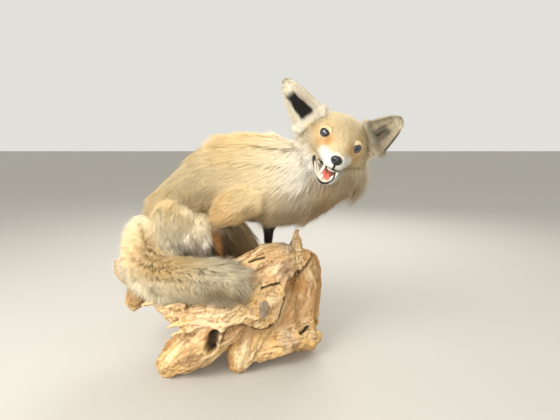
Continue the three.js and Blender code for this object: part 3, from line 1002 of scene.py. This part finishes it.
UNDERCOAT = 0.97  # the skin's tone, against its coat's
colour = coat_colour(mm_points, head_points, skin_normals, SHARE)
# Inside the open mouth: flesh below and grey palate above, fading to black towards the back as painted shade.
inside_mouth = mouth_depth(head_points)[:, None]
roof = step(-48, -44, head_points[:, 2])[:, None]
lining = PALETTE["flesh"] * (1 - roof) + PALETTE["palate"] * roof
lining = lining * step(2, 34, head_points[:, 0])[:, None]
paint(skin_mesh, UNDERCOAT * colour * (1 - inside_mouth) + lining * inside_mouth)
skin = add_piece("skin", skin_mesh, HIDE, replaces=FLESH)
skin_map = unwrapped(skin)

roots = sow(skin_mesh, skin_map, density, {
    "up": skin_normals, "way": lie, "share": SHARE, "reach": reach, "wide": width,
    "lean_root": lean_root, "lean_tip": lean_tip, "gather": gather, "head_at": head_points,
})
roots["tint"] = coat_colour(roots["at"] / MM - CENTRING, roots["head_at"], roots["up"], roots["share"])
tufts = comb(roots, clump=9)
region = roots["share"].argmax(axis=1)
GROUPS = {
    "head": HEAD_NODES, "neck": ["neck"], "trunk": ["trunk"], "brush": TAIL_NODES,
    "forelegs": FORELEGS, "hind_legs": HIND_LEGS, "paws": list(PAWS),
}
for group, names in GROUPS.items():
    members = np.flatnonzero(np.isin(region, [FLESH.index(name) for name in names]))
    shape = spikes if group in ("head", "paws") else blades
    coat_pieces(group, tufts, members, shape)

# ------------------------------------------------------------------ eyes and lids
skin_tree = surface(skin_points, skin_mesh)


def on_skin(places, lift=0.0):
    """Places near the skin, in the head's mm, moved on to it and then out by lift."""
    out = []
    for p in from_head(places):
        near_by, way, _, _ = skin_tree.find_nearest(Vector(p))
        out.append(np.array(near_by) + np.array(way) * lift * MM)
    return to_head(np.array(out))


# Each eye: which way the lids' opening faces, the way to its inner corner, and the gaze.
EYE_SETS = {
    "right": {"faces": (0.86, -0.48, 0.14), "inner": (0.4, 0.88, -0.14), "gaze": (0.98, -0.13, 0.12)},
    "left": {"faces": (0.86, 0.48, 0.12), "inner": (0.4, -0.8, -0.4), "gaze": (0.98, 0.06, 0.12)},
}
BALL, PUPIL, IRIS = 9.9, 5.2, 7.2  # radii in mm
HEAD_ONLY = np.array([name == "head" for name in FLESH], float)


def eyeball(side):
    """A glass ball, bulged a little in front, with its iris and pupil turned to the gaze."""
    globe = bmesh.new()
    bmesh.ops.create_uvsphere(globe, u_segments=64, v_segments=48, radius=1)
    mesh = mesh_from(globe, f"eye_{side}_glass")
    ball = coords(mesh)
    gaze = unit(EYE_SETS[side]["gaze"])
    ahead = np.clip(dot(ball, gaze)[:, 0], -1, 1)
    off = BALL * np.sin(np.arccos(np.maximum(ahead, 0)))
    bulge = 1 + 0.03 * step(0.75, 1.0, ahead)
    set_coords(mesh, from_head(EYES[side] + ball * BALL * bulge[:, None]))
    spokes = noise(np.stack([np.arctan2(ball[:, 1], ball[:, 2]) * 9, off * 0.5, off * 0], axis=1), 1.0, 21)
    share = step(PUPIL, IRIS, off) + 0.3 * spokes
    out = blend(PALETTE["iris_pale"], "iris", share)
    out = blend(out, "pupil", step(PUPIL + 0.3, PUPIL - 0.2, off))
    out = blend(out, "sclera", step(IRIS - 0.9, IRIS + 0.2, off) + (ahead < 0))
    paint(mesh, out)
    return mesh


# Across a lid: the share of the way from the opening to LID_REACH, and how far it stands off the glass.
LID_SECTION = np.array([
    (-0.1, -1.6), (-0.03, -0.2), (0, 0.45), (0.1, 1.0), (0.3, 1.1), (0.5, 1.0), (0.75, 0.9), (1.0, 0.4),
    (1.05, -3.0), (0.5, -4.0),
])
LID_REACH, ON_GLASS = 12.5, 9.0  # mm from the eye's axis: the lid's edge, and where it leaves the glass
SQUARENESS = 1.9  # of the opening: 2 would be an ellipse


def lids(side):
    """A soft rim round the opening: it rides on the glass and runs out under the coat."""
    faces = unit(EYE_SETS[side]["faces"])
    inner = flat(np.array(EYE_SETS[side]["inner"]), faces)
    high = np.cross(faces, inner)
    high = high * np.sign(high[2])

    def place(turn, share):
        angle = turn * 2 * math.pi
        c, s = np.cos(angle), np.sin(angle)
        wide, tall = np.where(c > 0, 8.6, 7.7), np.where(s > 0, 5.9, 6.0)
        opening = (np.abs(c / wide) ** SQUARENESS + np.abs(s / tall) ** SQUARENESS) ** (-1 / SQUARENESS)
        around = share * len(LID_SECTION)
        i = around.astype(int) % len(LID_SECTION)
        j = (i + 1) % len(LID_SECTION)
        f = (around % 1)[:, None]
        cut = LID_SECTION[i] * (1 - f) + LID_SECTION[j] * f
        out = opening + (LID_REACH - opening) * cut[:, 0]
        on_glass = np.minimum(out, ON_GLASS)
        rise = np.sqrt(BALL**2 - on_glass**2) + cut[:, 1] - (out - on_glass) * 0.55
        p = EYES[side] + faces * rise[:, None] + (inner * c[:, None] + high * s[:, None]) * out[:, None]
        return from_head(p)

    mesh = rolled(f"lids_{side}", 72, 32, place)
    h = to_head(coords(mesh)) - EYES[side]
    above = dot(h, high)[:, 0]
    along = dot(h, inner)[:, 0]
    opening = (np.abs(along / 8.2) ** SQUARENESS + np.abs(above / 5.95) ** SQUARENESS) ** (1 / SQUARENESS)
    # A dark rim round the opening and the pale lid beyond it; above the eye the dark runs wider, as painted
    # shade under the upper lid.
    tone = blend(all_over("rim", h), "lid", step(1.04, 1.14, opening - 0.08 * step(-1, 3, above)))
    places = coords(mesh)
    mask = coat_colour(places / MM - CENTRING, to_head(places), h, np.tile(HEAD_ONLY, (len(h), 1)))
    tone = mixed(tone, mask, step(1.15, 1.5, opening))
    corner = near(h, faces * 5 + inner * 9.6, (2.6, 2.6, 2.6))
    tone = blend(tone, "rim", 0.9 * corner)
    paint(mesh, tone)
    return mesh, tone, flat(h, faces), step(1.15, 1.4, opening) * (dot(h, faces)[:, 0] > 1)


for side in EYES:
    add_piece(f"eye_{side}_glass", eyeball(side), EYE, replaces=[f"eye_{side}"])
    mesh, tones, outwards, haired = lids(side)
    piece = add_piece(f"lids_{side}", mesh, HIDE)
    even = np.ones(len(tones))
    short_coat(f"lids_{side}", piece, 190 * haired, 0.005, {
        "way": outwards @ HEAD_TURN.T, "reach": 0.7 * even, "wide": 0.4 * even,
        "lean_root": 16 * even, "lean_tip": 6 * even, "gather": 0.1 * even, "tint": tones,
    })


# ------------------------------------------------------------------ nose
NOSE_SIZE = (8.6, 9.4, 7.8)  # half its length, width and height in mm


def nose_pad():
    """A ball of leather with two comma-shaped nostrils and a cleft below them."""
    pad = bmesh.new()
    bmesh.ops.create_uvsphere(pad, u_segments=72, v_segments=56, radius=1)
    mesh = mesh_from(pad, "nose_leather")
    ball = coords(mesh)
    x, y, z = ball.T
    side = np.abs(y)
    front = step(0.1, 0.6, x)
    nostril = np.exp(-(((side - 0.47) / 0.2) ** 2) - ((z - 0.02 - 0.25 * (side - 0.47)) / 0.24) ** 2) * front
    slit = np.exp(-(((side - 0.78) / 0.24) ** 2) - ((z + 0.22) / 0.1) ** 2) * step(-0.2, 0.3, x)
    cleft = np.exp(-((side / 0.06) ** 2)) * step(0.35, -0.2, z) * front
    lift = 1 - 0.42 * nostril - 0.2 * slit - 0.12 * cleft + 0.06 * step(0.3, 0.9, z) * front
    narrow = 1 - 0.28 * step(-0.1, -0.95, z)
    long, wide, tall = NOSE_SIZE
    shaped = np.stack([x * lift * long, y * lift * narrow * wide, z * lift * tall], axis=1)
    set_coords(mesh, from_head(NOSE + shaped))
    # Painted highlight: the leather is paler over the top of its front. Painted shade: the nostrils and slits
    # are darker.
    tone = all_over("leather", x) * (1 + 1.6 * step(0.2, 0.9, z) * front)[:, None]
    paint(mesh, tone * (1 - 0.85 * np.clip(nostril + slit, 0, 1))[:, None])
    return mesh


add_piece("nose_leather", nose_pad(), LEATHER, replaces=["nose"])


# ------------------------------------------------------------------ mouth
def painted_piece(name, mesh, tone, finish):
    """A piece all of one colour of the palette."""
    paint(mesh, all_over(tone, mesh.vertices))
    add_piece(name, mesh, finish)


for name, rows in LIPS.items():
    rows = np.array(rows, float)
    if name != "cleft":
        rows[:, :3] = 0.5 * rows[:, :3] + 0.5 * on_skin(rows[:, :3], 0.2)
    squash = 0.5 if name == "cleft" else 0.8
    lip = cord(f"lip_{name}", rows, 12, 90, squash, (1, 0, 0.2))
    painted_piece(f"lip_{name}", lip, "lip", LIP)

# The pale lining of the lower lip, and the teeth that stand inside it.
LINING = [
    (18, -26, -44, 1.2), (24, -22.5, -49.5, 1.7), (32, -19, -54.5, 1.7), (42, -14, -58, 1.5),
    (50, -9, -59.6, 1.5), (57, -3, -59, 1.7), (57, 3, -56.5, 1.6), (52, 7.5, -53, 1.4), (46, 9.5, -48.5, 1.2),
]
painted_piece("lip_lining", cord("lip_lining", LINING, 12, 70), "gum", GUM)


def tooth(root, tip, radius, flatness=1.0):
    """A tooth that bends forward a little and comes to a blunt point."""
    root, tip = np.array(root, float), np.array(tip, float)
    bend = (root + tip) / 2 + np.array([radius * 0.5, 0, 0])
    rows = [(*root, radius), (*bend, radius * 0.8), (*tip, radius * 0.12)]
    return cord("tooth", rows, 10, 10, flatness)


TEETH = [
    tooth((49.5, -10.6, -37), (52, -13.2, -53.6), 2.5), tooth((49, 11.5, -36.5), (50.5, 12.6, -50), 2.4),
    tooth((52, 5.6, -56), (56, 7.4, -44), 2.3), tooth((53, -7, -57.5), (55.5, -9.6, -48.5), 2.1),
]
for y in (-4.2, -2.0, 0.3, 2.6):
    root = (57.5 - 0.2 * y * y, y, -58.5 + 0.35 * (y + 4))
    TEETH.append(tooth(root, (59.0 - 0.2 * y * y, y, -54.6), 1.1, 0.7))
for y in (-5.4, -3.2, -1.1, 1.1, 3.2, 5.4):
    TEETH.append(tooth((60 - 0.14 * y * y, y, -36), (60.6 - 0.14 * y * y, y, -40.2), 1.1, 0.7))
cheek_line = smooth_line([(46, -9.5, -57.5), (38, -13.5, -55.5), (30, -16.5, -52), (22, -19.5, -48.5)], 7)
roof_line = smooth_line([(43, -11, -38), (34, -14.5, -39), (24, -18.5, -41)], 6)
for line, rise in ((cheek_line, 1), (roof_line, -1)):
    for k, p in enumerate(line):
        for side in (1, -0.86):
            q = p * np.array([1, side, 1])
            root, point = q - np.array([0, 0, rise]), q + np.array([0.8, 0, rise * (4.2 - 0.25 * k)])
            TEETH.append(tooth(root, point, 1.6, 0.6))
painted_piece("teeth", merged("teeth", TEETH), "ivory", TOOTH)


# Rows along the tongue: the head's places, half its width and half its height there.
TONGUE = [
    (6, 0, -50, 9, 4.5), (22, -1, -50.5, 10.5, 4.5), (36, -1, -52, 9.5, 4.0), (46, -1, -54, 8.2, 3.6),
    (54, -0.8, -56.6, 5.0, 2.6),
]
TONGUE_RINGS = 40


def tongue():
    """A flat tongue with a groove down its middle, darker towards the back of the mouth as painted shade."""
    line = smooth_line(TONGUE, TONGUE_RINGS + 1)

    def place(turn, share):
        i = np.rint(share * TONGUE_RINGS).astype(int)
        angle = turn * 2 * math.pi
        ends = np.sqrt(np.clip(1 - np.abs(2 * share - 1) ** 5, 0, 1))
        across = np.cos(angle) * line[i, 3] * ends
        groove = 1.5 * np.exp(-((across / 1.6) ** 2)) * (np.sin(angle) > 0)
        rise = np.sin(angle) * line[i, 4] * ends - groove * ends
        return from_head(line[i, :3] + np.stack([0 * across, across, rise], axis=1))

    mesh = rolled("tongue_wax", 48, TONGUE_RINGS, place)
    h = to_head(coords(mesh))
    tone = all_over("coral", h) * (0.62 + 0.38 * step(24, 46, h[:, 0]))[:, None]
    # A paler spot on top near the tip.
    paint(mesh, tone * (1 + 0.25 * near(h, (48, -2, -51), (8, 5, 3)))[:, None])
    return mesh


add_piece("tongue_wax", tongue(), GUM, replaces=["tongue"])

# Whiskers from both pads, in three rows of three.
WHISKERS = []
for side in (-1, 1):
    for row, z in enumerate((-22, -26.5, -31)):
        for k in range(3):
            x = 56 - 6 * k
            root = on_skin([(x, side * (11 + 2.2 * k + row), z + k)])[0]
            way = unit(np.array([0.25 - 0.28 * k, side * 1.0, -0.12 * row + 0.1]))
            long = 20 + 7 * k + 3 * row
            middle, tip = root + way * long * 0.5 + (0, 0, 1.5), root + way * long
            WHISKERS.append(cord("whisker", [(*root, 0.14), (*middle, 0.11), (*tip, 0.03)], 5, 8))
painted_piece("whiskers", merged("whiskers", WHISKERS), "black", HORN)


# ------------------------------------------------------------------ ears
CUP, FLARE = 11, 8  # how deep an ear is cupped, and how much wider its foot is, in mm
EAR_WALL = {"root": 9.0, "tip": 2.6}


def ear_frame(side):
    """An ear's root, the way from it to the tip, and the way across."""
    root, tip = np.array(EARS[side]["root"], float), np.array(EARS[side]["tip"], float)
    return root, tip - root, flat(np.array(EARS[side]["across"]), unit(tip - root))


def ear_leaf(side, across, along, face):
    """Points of an ear: across -1 to 1, along 0 at its root to 1 at its tip, face 1 in front or -1 behind."""
    root, axis, sideways = ear_frame(side)
    front = unit(np.cross(sideways, axis))
    narrowing = np.sqrt(np.clip(1 - along**1.6, 0, 1))
    half = (EARS[side]["wide"] * narrowing + FLARE * (1 - along) ** 3) * (0.66 + 0.34 * step(0, 0.16, along))
    wall = (EAR_WALL["root"] + (EAR_WALL["tip"] - EAR_WALL["root"]) * along) * np.sqrt(narrowing)
    ridges = 0.5 * np.sin(across * 15 + 2 * along) * step(0.3, 0.7, across) * step(0.9, 0.6, along)
    crumple = 0.8 * np.sin(along * 60 + across * 5) * step(0.82, 0.95, along)
    rim = np.sqrt(np.clip(1 - np.abs(across) ** 5, 0, 1))
    out = CUP * narrowing * across**2 + face * wall / 2 * rim + (ridges + crumple) * (face > 0)
    return root + axis * along[:, None] + sideways * (half * across)[:, None] + front * out[:, None]


# Each ear's pale hair, dark patch and rosy skin, and where across and along it the skin shows.
EAR_LOOKS = {
    "right": {"pale": "#e6dcc4", "dark": "#150e09", "pink": "#a28a7c", "rosy": (0.35, 0.5)},
    "left": {"pale": "#d6c7a6", "dark": "#35281d", "pink": "#a58d7c", "rosy": (0.5, 0.4)},
}


def ear_tones(side, across, along, face):
    looks = EAR_LOOKS[side]
    p = np.stack([across * 20, along * 60, face * 30], axis=1)
    streak = noise(p * np.array([1, 0.35, 1]), 3.2, 31)
    out = np.tile(linear(looks["pale"]), (len(p), 1))
    out = blend(out, "ear_dusk", 0.5 * np.clip(streak, 0, 1))
    if side == "right":
        centre = -0.16 + 0.5 * (0.5 - along)
        patch = step(0.56, 0.34, np.abs(across - centre + 0.12 * streak))
        patch = patch * step(0.12, 0.2, along) * step(0.8, 0.66, along)
    else:
        patch = step(0.55, 0.25, np.abs(across - 0.02)) * step(0.12, 0.22, along) * step(0.68, 0.52, along)
        patch = patch * (0.75 + 0.35 * streak)
        rim = step(0.84, 0.95, across) * step(0.05, 0.2, along) * step(0.85, 0.7, along)
        out = blend(out, "ear_edge", 0.85 * rim)
    leaf = np.stack([across, along], axis=1)
    out = mixed(out, linear(looks["pink"]), 0.7 * near(leaf, looks["rosy"], (0.35, 0.25)))
    out = mixed(out, linear(looks["dark"]), patch)
    out = blend(out, "ear_seam", 0.7 * near(leaf, (-0.25, 0.84), (0.7, 0.05)))
    out = blend(out, "ear_tip", 0.5 * step(0.9, 1.0, along))
    behind = blend(PALETTE["ear_back"], "ear_shade", 0.8 * step(0.45, 0.9, along + 0.1 * streak))
    return np.where((face > 0)[:, None], out, behind)


def round_leaf(turn, share):
    """Across, along and face from the turn round an ear's leaf, front first and then back."""
    swing = turn * 2
    across = np.where(swing < 1, -np.cos(swing * math.pi), np.cos((swing - 1) * math.pi))
    return across, share**0.9, np.where(swing < 1, 1.0, -1.0)


EAR_SKIN = 0.85  # the bare hide's tone, against its hair's
for side in EARS:
    name = f"ear_{side}_hide"
    mesh = rolled(name, 96, 64, lambda turn, share: from_head(ear_leaf(side, *round_leaf(turn, share))))
    piece = add_piece(name, mesh, HIDE, replaces=[f"ear_{side}"])
    turn, share = (g.ravel() for g in np.meshgrid(np.linspace(0, 1, 193), np.linspace(0, 1, 129)))
    across, along, face = round_leaf(turn, share)
    pick = nearest(to_head(coords(mesh)), ear_leaf(side, across, along, face))[0]
    across, along, face = across[pick], along[pick], face[pick]
    tones = ear_tones(side, across, along, face)
    paint(mesh, tones * EAR_SKIN)
    _, axis, sideways = ear_frame(side)
    # Hair inside sweeps in from both edges and up; hair behind lies towards the tip.
    inward = -np.sign(across) * step(0.2, 0.8, np.abs(across)) * (face > 0)
    at_root = step(0.24, 0.06, along)
    hair = unit(axis) + sideways * (1.1 * inward * (1 - 1.6 * at_root))[:, None]
    fringe = step(0.7, 0.97, np.abs(across)) * (face > 0) * step(0.95, 0.7, along)
    even = np.ones(len(tones))
    short_coat(f"ear_{side}", piece, 110 + 130 * fringe, 0.016, {
        "way": hair @ HEAD_TURN.T, "reach": 0.9 + 1.1 * fringe + 4.0 * at_root, "wide": 0.5 * even,
        "lean_root": 24 + 12 * fringe, "lean_tip": 8 + 4 * fringe, "gather": 0.3 * even, "tint": tones,
    })


# ------------------------------------------------------------------ claws
TOE = {"apart": 9.6, "middle_ahead": 8, "outer_back": 4}
CLAW = [(7, 0, 2.2), (13, 0.5, 2.1), (18, 3, 1.5), (21.5, 6.8, 0.3)]  # mm ahead, mm down, half its width


def claws():
    made = []
    for heel, toes in PAWS.values():
        heel, toes = np.array(heel, float), np.array(toes, float)
        forward = unit(toes - heel)
        sideways = unit(np.cross((0, 0, 1), forward))
        for place in (-1.5, -0.5, 0.5, 1.5):
            start = toes + sideways * place * TOE["apart"]
            start = start + forward * (TOE["middle_ahead"] - TOE["outer_back"] * abs(place))
            rows = []
            for ahead, drop, girth in CLAW:
                rows.append(head_row(start + forward * ahead - np.array([0, 0, drop]), girth))
            made.append(cord("claw", rows, 8, 12))
    return merged("claws", made)


painted_piece("claws", claws(), "horn", HORN)

# ------------------------------------------------------------------ driftwood
GRAIN_LINES = [
    [(92, -8, 210), (54, -30, 176), (8, -62, 142), (-44, -84, 100), (-98, -92, 50), (-158, -92, 6)],
    [(84, -10, 180), (90, -15, 244)],
    [(-42, -84, 178), (-8, -70, 190), (38, -46, 204), (90, -20, 204)],
    [(-66, -40, 150), (26, -20, 160), (96, 0, 180)],
    [(40, -50, 120), (4, -70, 60), (-28, -82, -8)],
    [(98, 2, 208), (106, -4, 150), (98, -8, 80), (108, 0, -8)],
    [(-10, -74, 40), (50, -56, 38), (96, -38, 42), (140, -20, 30)],
    [(-196, -16, 120), (-110, -6, 108), (-30, 10, 112), (70, 10, 112)],
    [(-140, 92, 138), (-60, 82, 120), (40, 56, 112)],
    [(-152, -88, 120), (-106, -94, 112), (-50, -96, 112), (24, -70, 122)],
    [(-100, -6, 118), (-176, -8, 130), (-222, -10, 148), (-262, -10, 188)],
    [(-200, -8, 156), (-222, -12, 122), (-232, -12, 84)],
    [(-50, 26, 104), (-104, 44, 56), (-142, 56, -8)],
    [(0, 36, 108), (40, 84, 56), (64, 120, -8)],
]


def splinter(root, tip, girth):
    """A torn sliver of wood from its root to its point."""
    root, tip = np.array(root, float), np.array(tip, float)
    rows = []
    for share, size in ((0, 1.0), (0.4, 0.85), (0.75, 0.6), (1, 0.25)):
        p = root * (1 - share) + tip * share + (0, 0, 2 * math.sin(3 * share))
        rows.append(head_row(p, girth * size))
    return cord("splinter", rows, 9, 14, 0.55)


SPLINTERS = [
    splinter((-98, -110, 138), (-150, -120, 131), 10), splinter((-92, -114, 126), (-143, -126, 120), 9),
    splinter((-86, -118, 114), (-134, -130, 105), 10), splinter((-84, -120, 102), (-126, -132, 93), 8),
    splinter((-146, -88, 136), (-186, -94, 130), 8), splinter((88, -14, 214), (93, -18, 252), 13),
]
wood_mesh = fused(["driftwood"], voxel=2.3, swell=0.4, fillers=SPLINTERS)
wood_links = Neighbours(wood_mesh)
wood_points = wood_links.fair(coords(wood_mesh), 18)
set_coords(wood_mesh, wood_points)
wood_up = unit(wood_links.blur(normals_of(wood_mesh), 4))
wp = wood_points / MM - CENTRING


def grain():
    """Which way the fibre runs: along the nearest root, blurred from one to the next and a little wavy."""
    lines = [smooth_line(line, 24) for line in GRAIN_LINES]
    ways = np.vstack([unit(np.gradient(line, axis=0)) for line in lines])
    way = flat(ways[nearest(wp, np.vstack(lines))[0]], wood_up)
    spread = wood_links.blur((way[:, :, None] * way[:, None, :]).reshape(-1, 9), 24).reshape(-1, 3, 3)
    way = np.linalg.eigh(spread)[1][:, :, 2]
    waver = np.stack([noise(wp, 46, seed) for seed in (41, 42, 43)], axis=1)
    return flat(way + 0.45 * waver, wood_up)


fibre = grain()
KNOT = (31, -104, 129)
to_knot = flat(wp - np.array(KNOT), wood_up)
round_knot = np.cross(wood_up, to_knot)
knot_share = near(wp, KNOT, (26, 26, 24))[:, None]
fibre = fibre * np.sign(dot(fibre, round_knot)) * (1 - knot_share) + 2 * round_knot * knot_share
fibre = flat(fibre, wood_up)


def fibres(size, reach, seed):
    """Streaks about that wide that run for that far along the grain, from about -1 to 1."""
    steps = np.linspace(-reach, reach, 9)
    total = sum(noise(wp + fibre * s, size, seed) for s in steps)
    return total / 2.6


def groove(places, width):
    """1 along a line of places, falling to 0 at that distance from it."""
    return step(width, width * 0.4, nearest(wp, smooth_line(places, 80))[1])


coarse, middling, fine = fibres(9, 42, 51), fibres(4.6, 22, 52), fibres(2.6, 12, 53)
furrow = np.clip(1 - np.abs(coarse) / 0.16, 0, 1)
split = np.clip(1 - np.abs(fibres(15, 55, 54) - 0.1) / 0.07, 0, 1) * step(0.0, 0.6, noise(wp, 44, 55))
burl = step(92, 52, wp[:, 2]) * step(-0.5, 0.5, noise(wp, 80, 56) + 0.4)
burl = burl + 0.7 * near(wp, (-240, -20, 150), (40, 40, 60))
burl = burl + 0.8 * near(wp, (132, -10, 150), (16, 40, 60))
lumps = noise(wp, 15, 57) + 0.6 * noise(wp, 8, 58)
height = 2.4 * noise(wp, 42, 59) + 1.3 * coarse + 0.9 * middling + 0.35 * fine - 1.7 * furrow - 2.8 * split
height = height + 2.9 * np.clip(burl, 0, 1) * lumps

# The cape's edge, where the front root overlaps the one behind it, with the gap under it painted dark as
# shadow.
CAPE = [
    (124, -10, 206), (116, -19, 193), (96, -37, 173), (82, -55, 170), (73, -69, 167), (67, -78, 153),
    (65, -66, 130), (60, -69, 114), (55, -72, 97), (40, -87, 88), (16, -99, 91), (-3, -115, 107),
    (-23, -122, 106), (-33, -124, 101), (-40, -125, 85),
]
cape_line = smooth_line(CAPE, 90)
edge_place, cape_apart = nearest(wp, cape_line)
cape_way = unit(np.gradient(cape_line, axis=0))[edge_place]
below_edge = dot(wp - cape_line[edge_place], np.cross(wood_up, cape_way))[:, 0]
front = step(0.1, 0.4, -wood_up[:, 1] + 0.3 * wood_up[:, 0]) * step(60, 30, cape_apart)
lip = step(-14, -2, below_edge) * step(1.5, -1.5, below_edge) * front
under = step(-1, 3, below_edge) * step(26, 5, below_edge) * front
gap = step(-0.5, 1.5, below_edge) * step(6.5, 3, below_edge) * step(14, 6, cape_apart) * front
height = height + wood_links.blur(2.8 * lip - 3.2 * under - 3.0 * gap, 3)

# Clefts, cut in and painted dark as shade: the places each runs through and its width.
DARK_LINES = [
    ([(7, -83, 207), (21, -79, 211), (33, -75, 212)], 2.8),
    ([(29, -99, 165), (46, -91, 168), (60, -83, 168)], 3.0),
    ([(98, -56, 60), (114, -35, 62), (132, -13, 64)], 4.5),
    ([(-50, -130, 92), (-53, -128, 82), (-58, -127, 66)], 13.0),
    ([(-54, -120, 124), (-49, -124, 106), (-53, -128, 90)], 3.5),
    ([(96, -37, 173), (88, -48, 171)], 6.5), ([(40, -87, 88), (52, -78, 92)], 4.5),
    ([(-196, -40, 96), (-186, -40, 84)], 9.0),
]
dark = np.zeros(len(wp))
for places, width in DARK_LINES:
    cut = groove(places, width)
    height = height - 1.3 * width * cut
    dark = np.maximum(dark, cut)

# The knot: a round wrinkled boss with a groove about it and a smooth hollow beside it.
knot_apart = np.linalg.norm((wp - np.array(KNOT)) / np.array([0.72, 1, 1.15]), axis=1)
in_knot = step(15, 11, knot_apart)
wrinkles = np.sin(knot_apart * 1.6 + 1.5 * noise(wp, 9, 61))
height = height + 2.5 * in_knot + 0.8 * in_knot * wrinkles
height = height - 2.6 * step(3, 0.5, np.abs(knot_apart - 15.5)) * step(30, 20, knot_apart)
hollow = near(wp, (8, -112, 146), (13, 13, 9))
height = height - 5.0 * hollow
wood_points = wood_points + wood_up * (height * MM)[:, None]
wood_points[:, 2] = np.maximum(wood_points[:, 2], 0)
set_coords(wood_mesh, wood_points)

WOODS = {name: linear(code) for name, code in {
    "tan": "#d8b27c", "pale": "#ead3a6", "gold": "#e2b56c", "brown": "#8f6b43", "grey": "#b2a08a",
    "stain": "#b07a42", "dark": "#2b1c10", "purple": "#8f8379", "rose": "#cdaa88",
}.items()}


def wood_colour():
    """Tan wood under pale, golden and grey weathering, stains, the knot and clefts painted dark as shade."""
    broad = noise(wp, 52, 71)
    patch = noise(wp, 21, 72)
    facing = step(-0.1, 0.3, -wood_up[:, 1] + 0.6 * wood_up[:, 0])
    behind = step(2, 16, below_edge) * step(100, 70, cape_apart) * facing * step(66, 92, wp[:, 2])
    right_end = step(92, 112, wp[:, 0]) * step(-0.4, 0.5, patch)
    return layered(np.tile(WOODS["tan"], (len(wp), 1)), [
        ("pale", 0.8 * step(-0.1, 0.7, 0.6 * coarse + 0.5 * broad + 0.3)),
        ("gold", 0.6 * step(0.1, 0.7, patch + 0.3 * middling)),
        ("grey", 0.65 * step(0.15, 0.7, noise(wp, 38, 73) + 0.3 * fine)),
        ("rose", 0.6 * near(wp, (-60, -122, 112), (50, 60, 36)) * step(-0.5, 0.3, fine + 0.4)),
        ("pale", 0.6 * near(wp, (-36, -120, 124), (40, 40, 26))),
        ("rose", 0.6 * near(wp, (60, -70, 190), (60, 40, 30))),
        # Behind the cape's edge: browner and stained, the brown partly the wood's own and partly painted
        # shade.
        ("brown", 0.65 * behind * step(-0.8, 0.4, middling + 0.4 * patch)),
        ("stain", 0.35 * behind),
        # The left arm: brown, partly the wood's own and partly painted shade.
        ("brown", 0.8 * step(-160, -200, wp[:, 0]) * step(-0.9, 0.4, patch + fine)),
        ("pale", 0.7 * near(wp, (116, -30, 168), (12, 20, 22))),
        ("brown", 0.55 * step(0.1, 0.9, -middling - 0.3 * patch)),
        ("stain", 0.6 * step(0.3, 0.8, noise(wp, 30, 74)) + 0.5 * right_end),
        ("gold", 0.5 * np.clip(burl, 0, 1) * step(0, 0.7, lumps)),
        ("purple", 0.75 * in_knot),
        ("dark", 0.6 * in_knot * step(0.1, 0.8, -wrinkles)),
        ("gold", 0.8 * hollow),
        ("purple", 0.5 * near(wp, (-88, -140, 44), (24, 30, 20))),
        ("brown", 0.8 * furrow + 0.6 * step(0.15, 0.8, -fine)),
        ("dark", 0.35 * step(0.55, 0.95, -middling) * step(0, 0.5, -fine)),
        # Painted shade: dark in the splits, the clefts and the gap under the cape's edge, and brown just
        # below that edge.
        ("dark", 0.75 * split + 0.95 * dark + 0.95 * gap),
        ("brown", 0.55 * under),
    ], WOODS)


paint(wood_mesh, wood_colour())
add_piece("driftwood_root", wood_mesh, WOOD, replaces=["driftwood"])

# ------------------------------------------------------------------ floor, light and camera
CAMERA_AT = (60, -730, 405)
PITCH = 9.3  # degrees down
FOCAL = 383 / 560  # focal length over the picture's width
SENSOR = 36
# Each lamp: where it stands, where it points, its width in metres and its watts.
LAMPS = {
    "key": ((-850, -950, 1300), (0, -40, 260), 0.9, 27),
    "fill": ((-250, -1500, 300), (0, -40, 220), 1.6, 22),
    "rim": ((300, 1200, 1200), (0, -40, 300), 1.0, 16),
}


def stage_setting():
    floor = bmesh.new()
    bmesh.ops.create_grid(floor, x_segments=1, y_segments=1, size=40)
    piece = placed("floor", mesh_from(floor, "floor"))
    matt = material("matt studio floor", Base_Color=(*linear("#b9b5ac"), 1), Roughness=0.9)
    piece.data.materials.append(matt)
    world = bpy.data.worlds.new("studio")
    bpy.context.scene.world = world
    world.use_nodes = True
    sky = world.node_tree.nodes["Background"]
    sky.inputs["Color"].default_value = (*linear("#f2f1ec"), 1)
    sky.inputs["Strength"].default_value = 0.85


def lamp(name, place, target, size, power):
    data = bpy.data.lights.new(name, "AREA")
    data.size = size
    data.energy = power
    piece = placed(name, data)
    piece.location = Vector(spot(place))
    piece.rotation_euler = (Vector(spot(target)) - piece.location).to_track_quat("-Z", "Y").to_euler()


def camera():
    data = bpy.data.cameras.new("camera")
    data.sensor_width = SENSOR
    data.lens = SENSOR * FOCAL
    data.clip_start = 0.01
    piece = placed("camera", data)
    piece.location = Vector(spot(CAMERA_AT))
    piece.rotation_euler = (math.radians(90 - PITCH), 0, 0)
    bpy.context.scene.camera = piece


stage_setting()
for name, settings in LAMPS.items():
    lamp(name, *settings)
camera()
bpy.context.scene.view_settings.view_transform = "Standard"
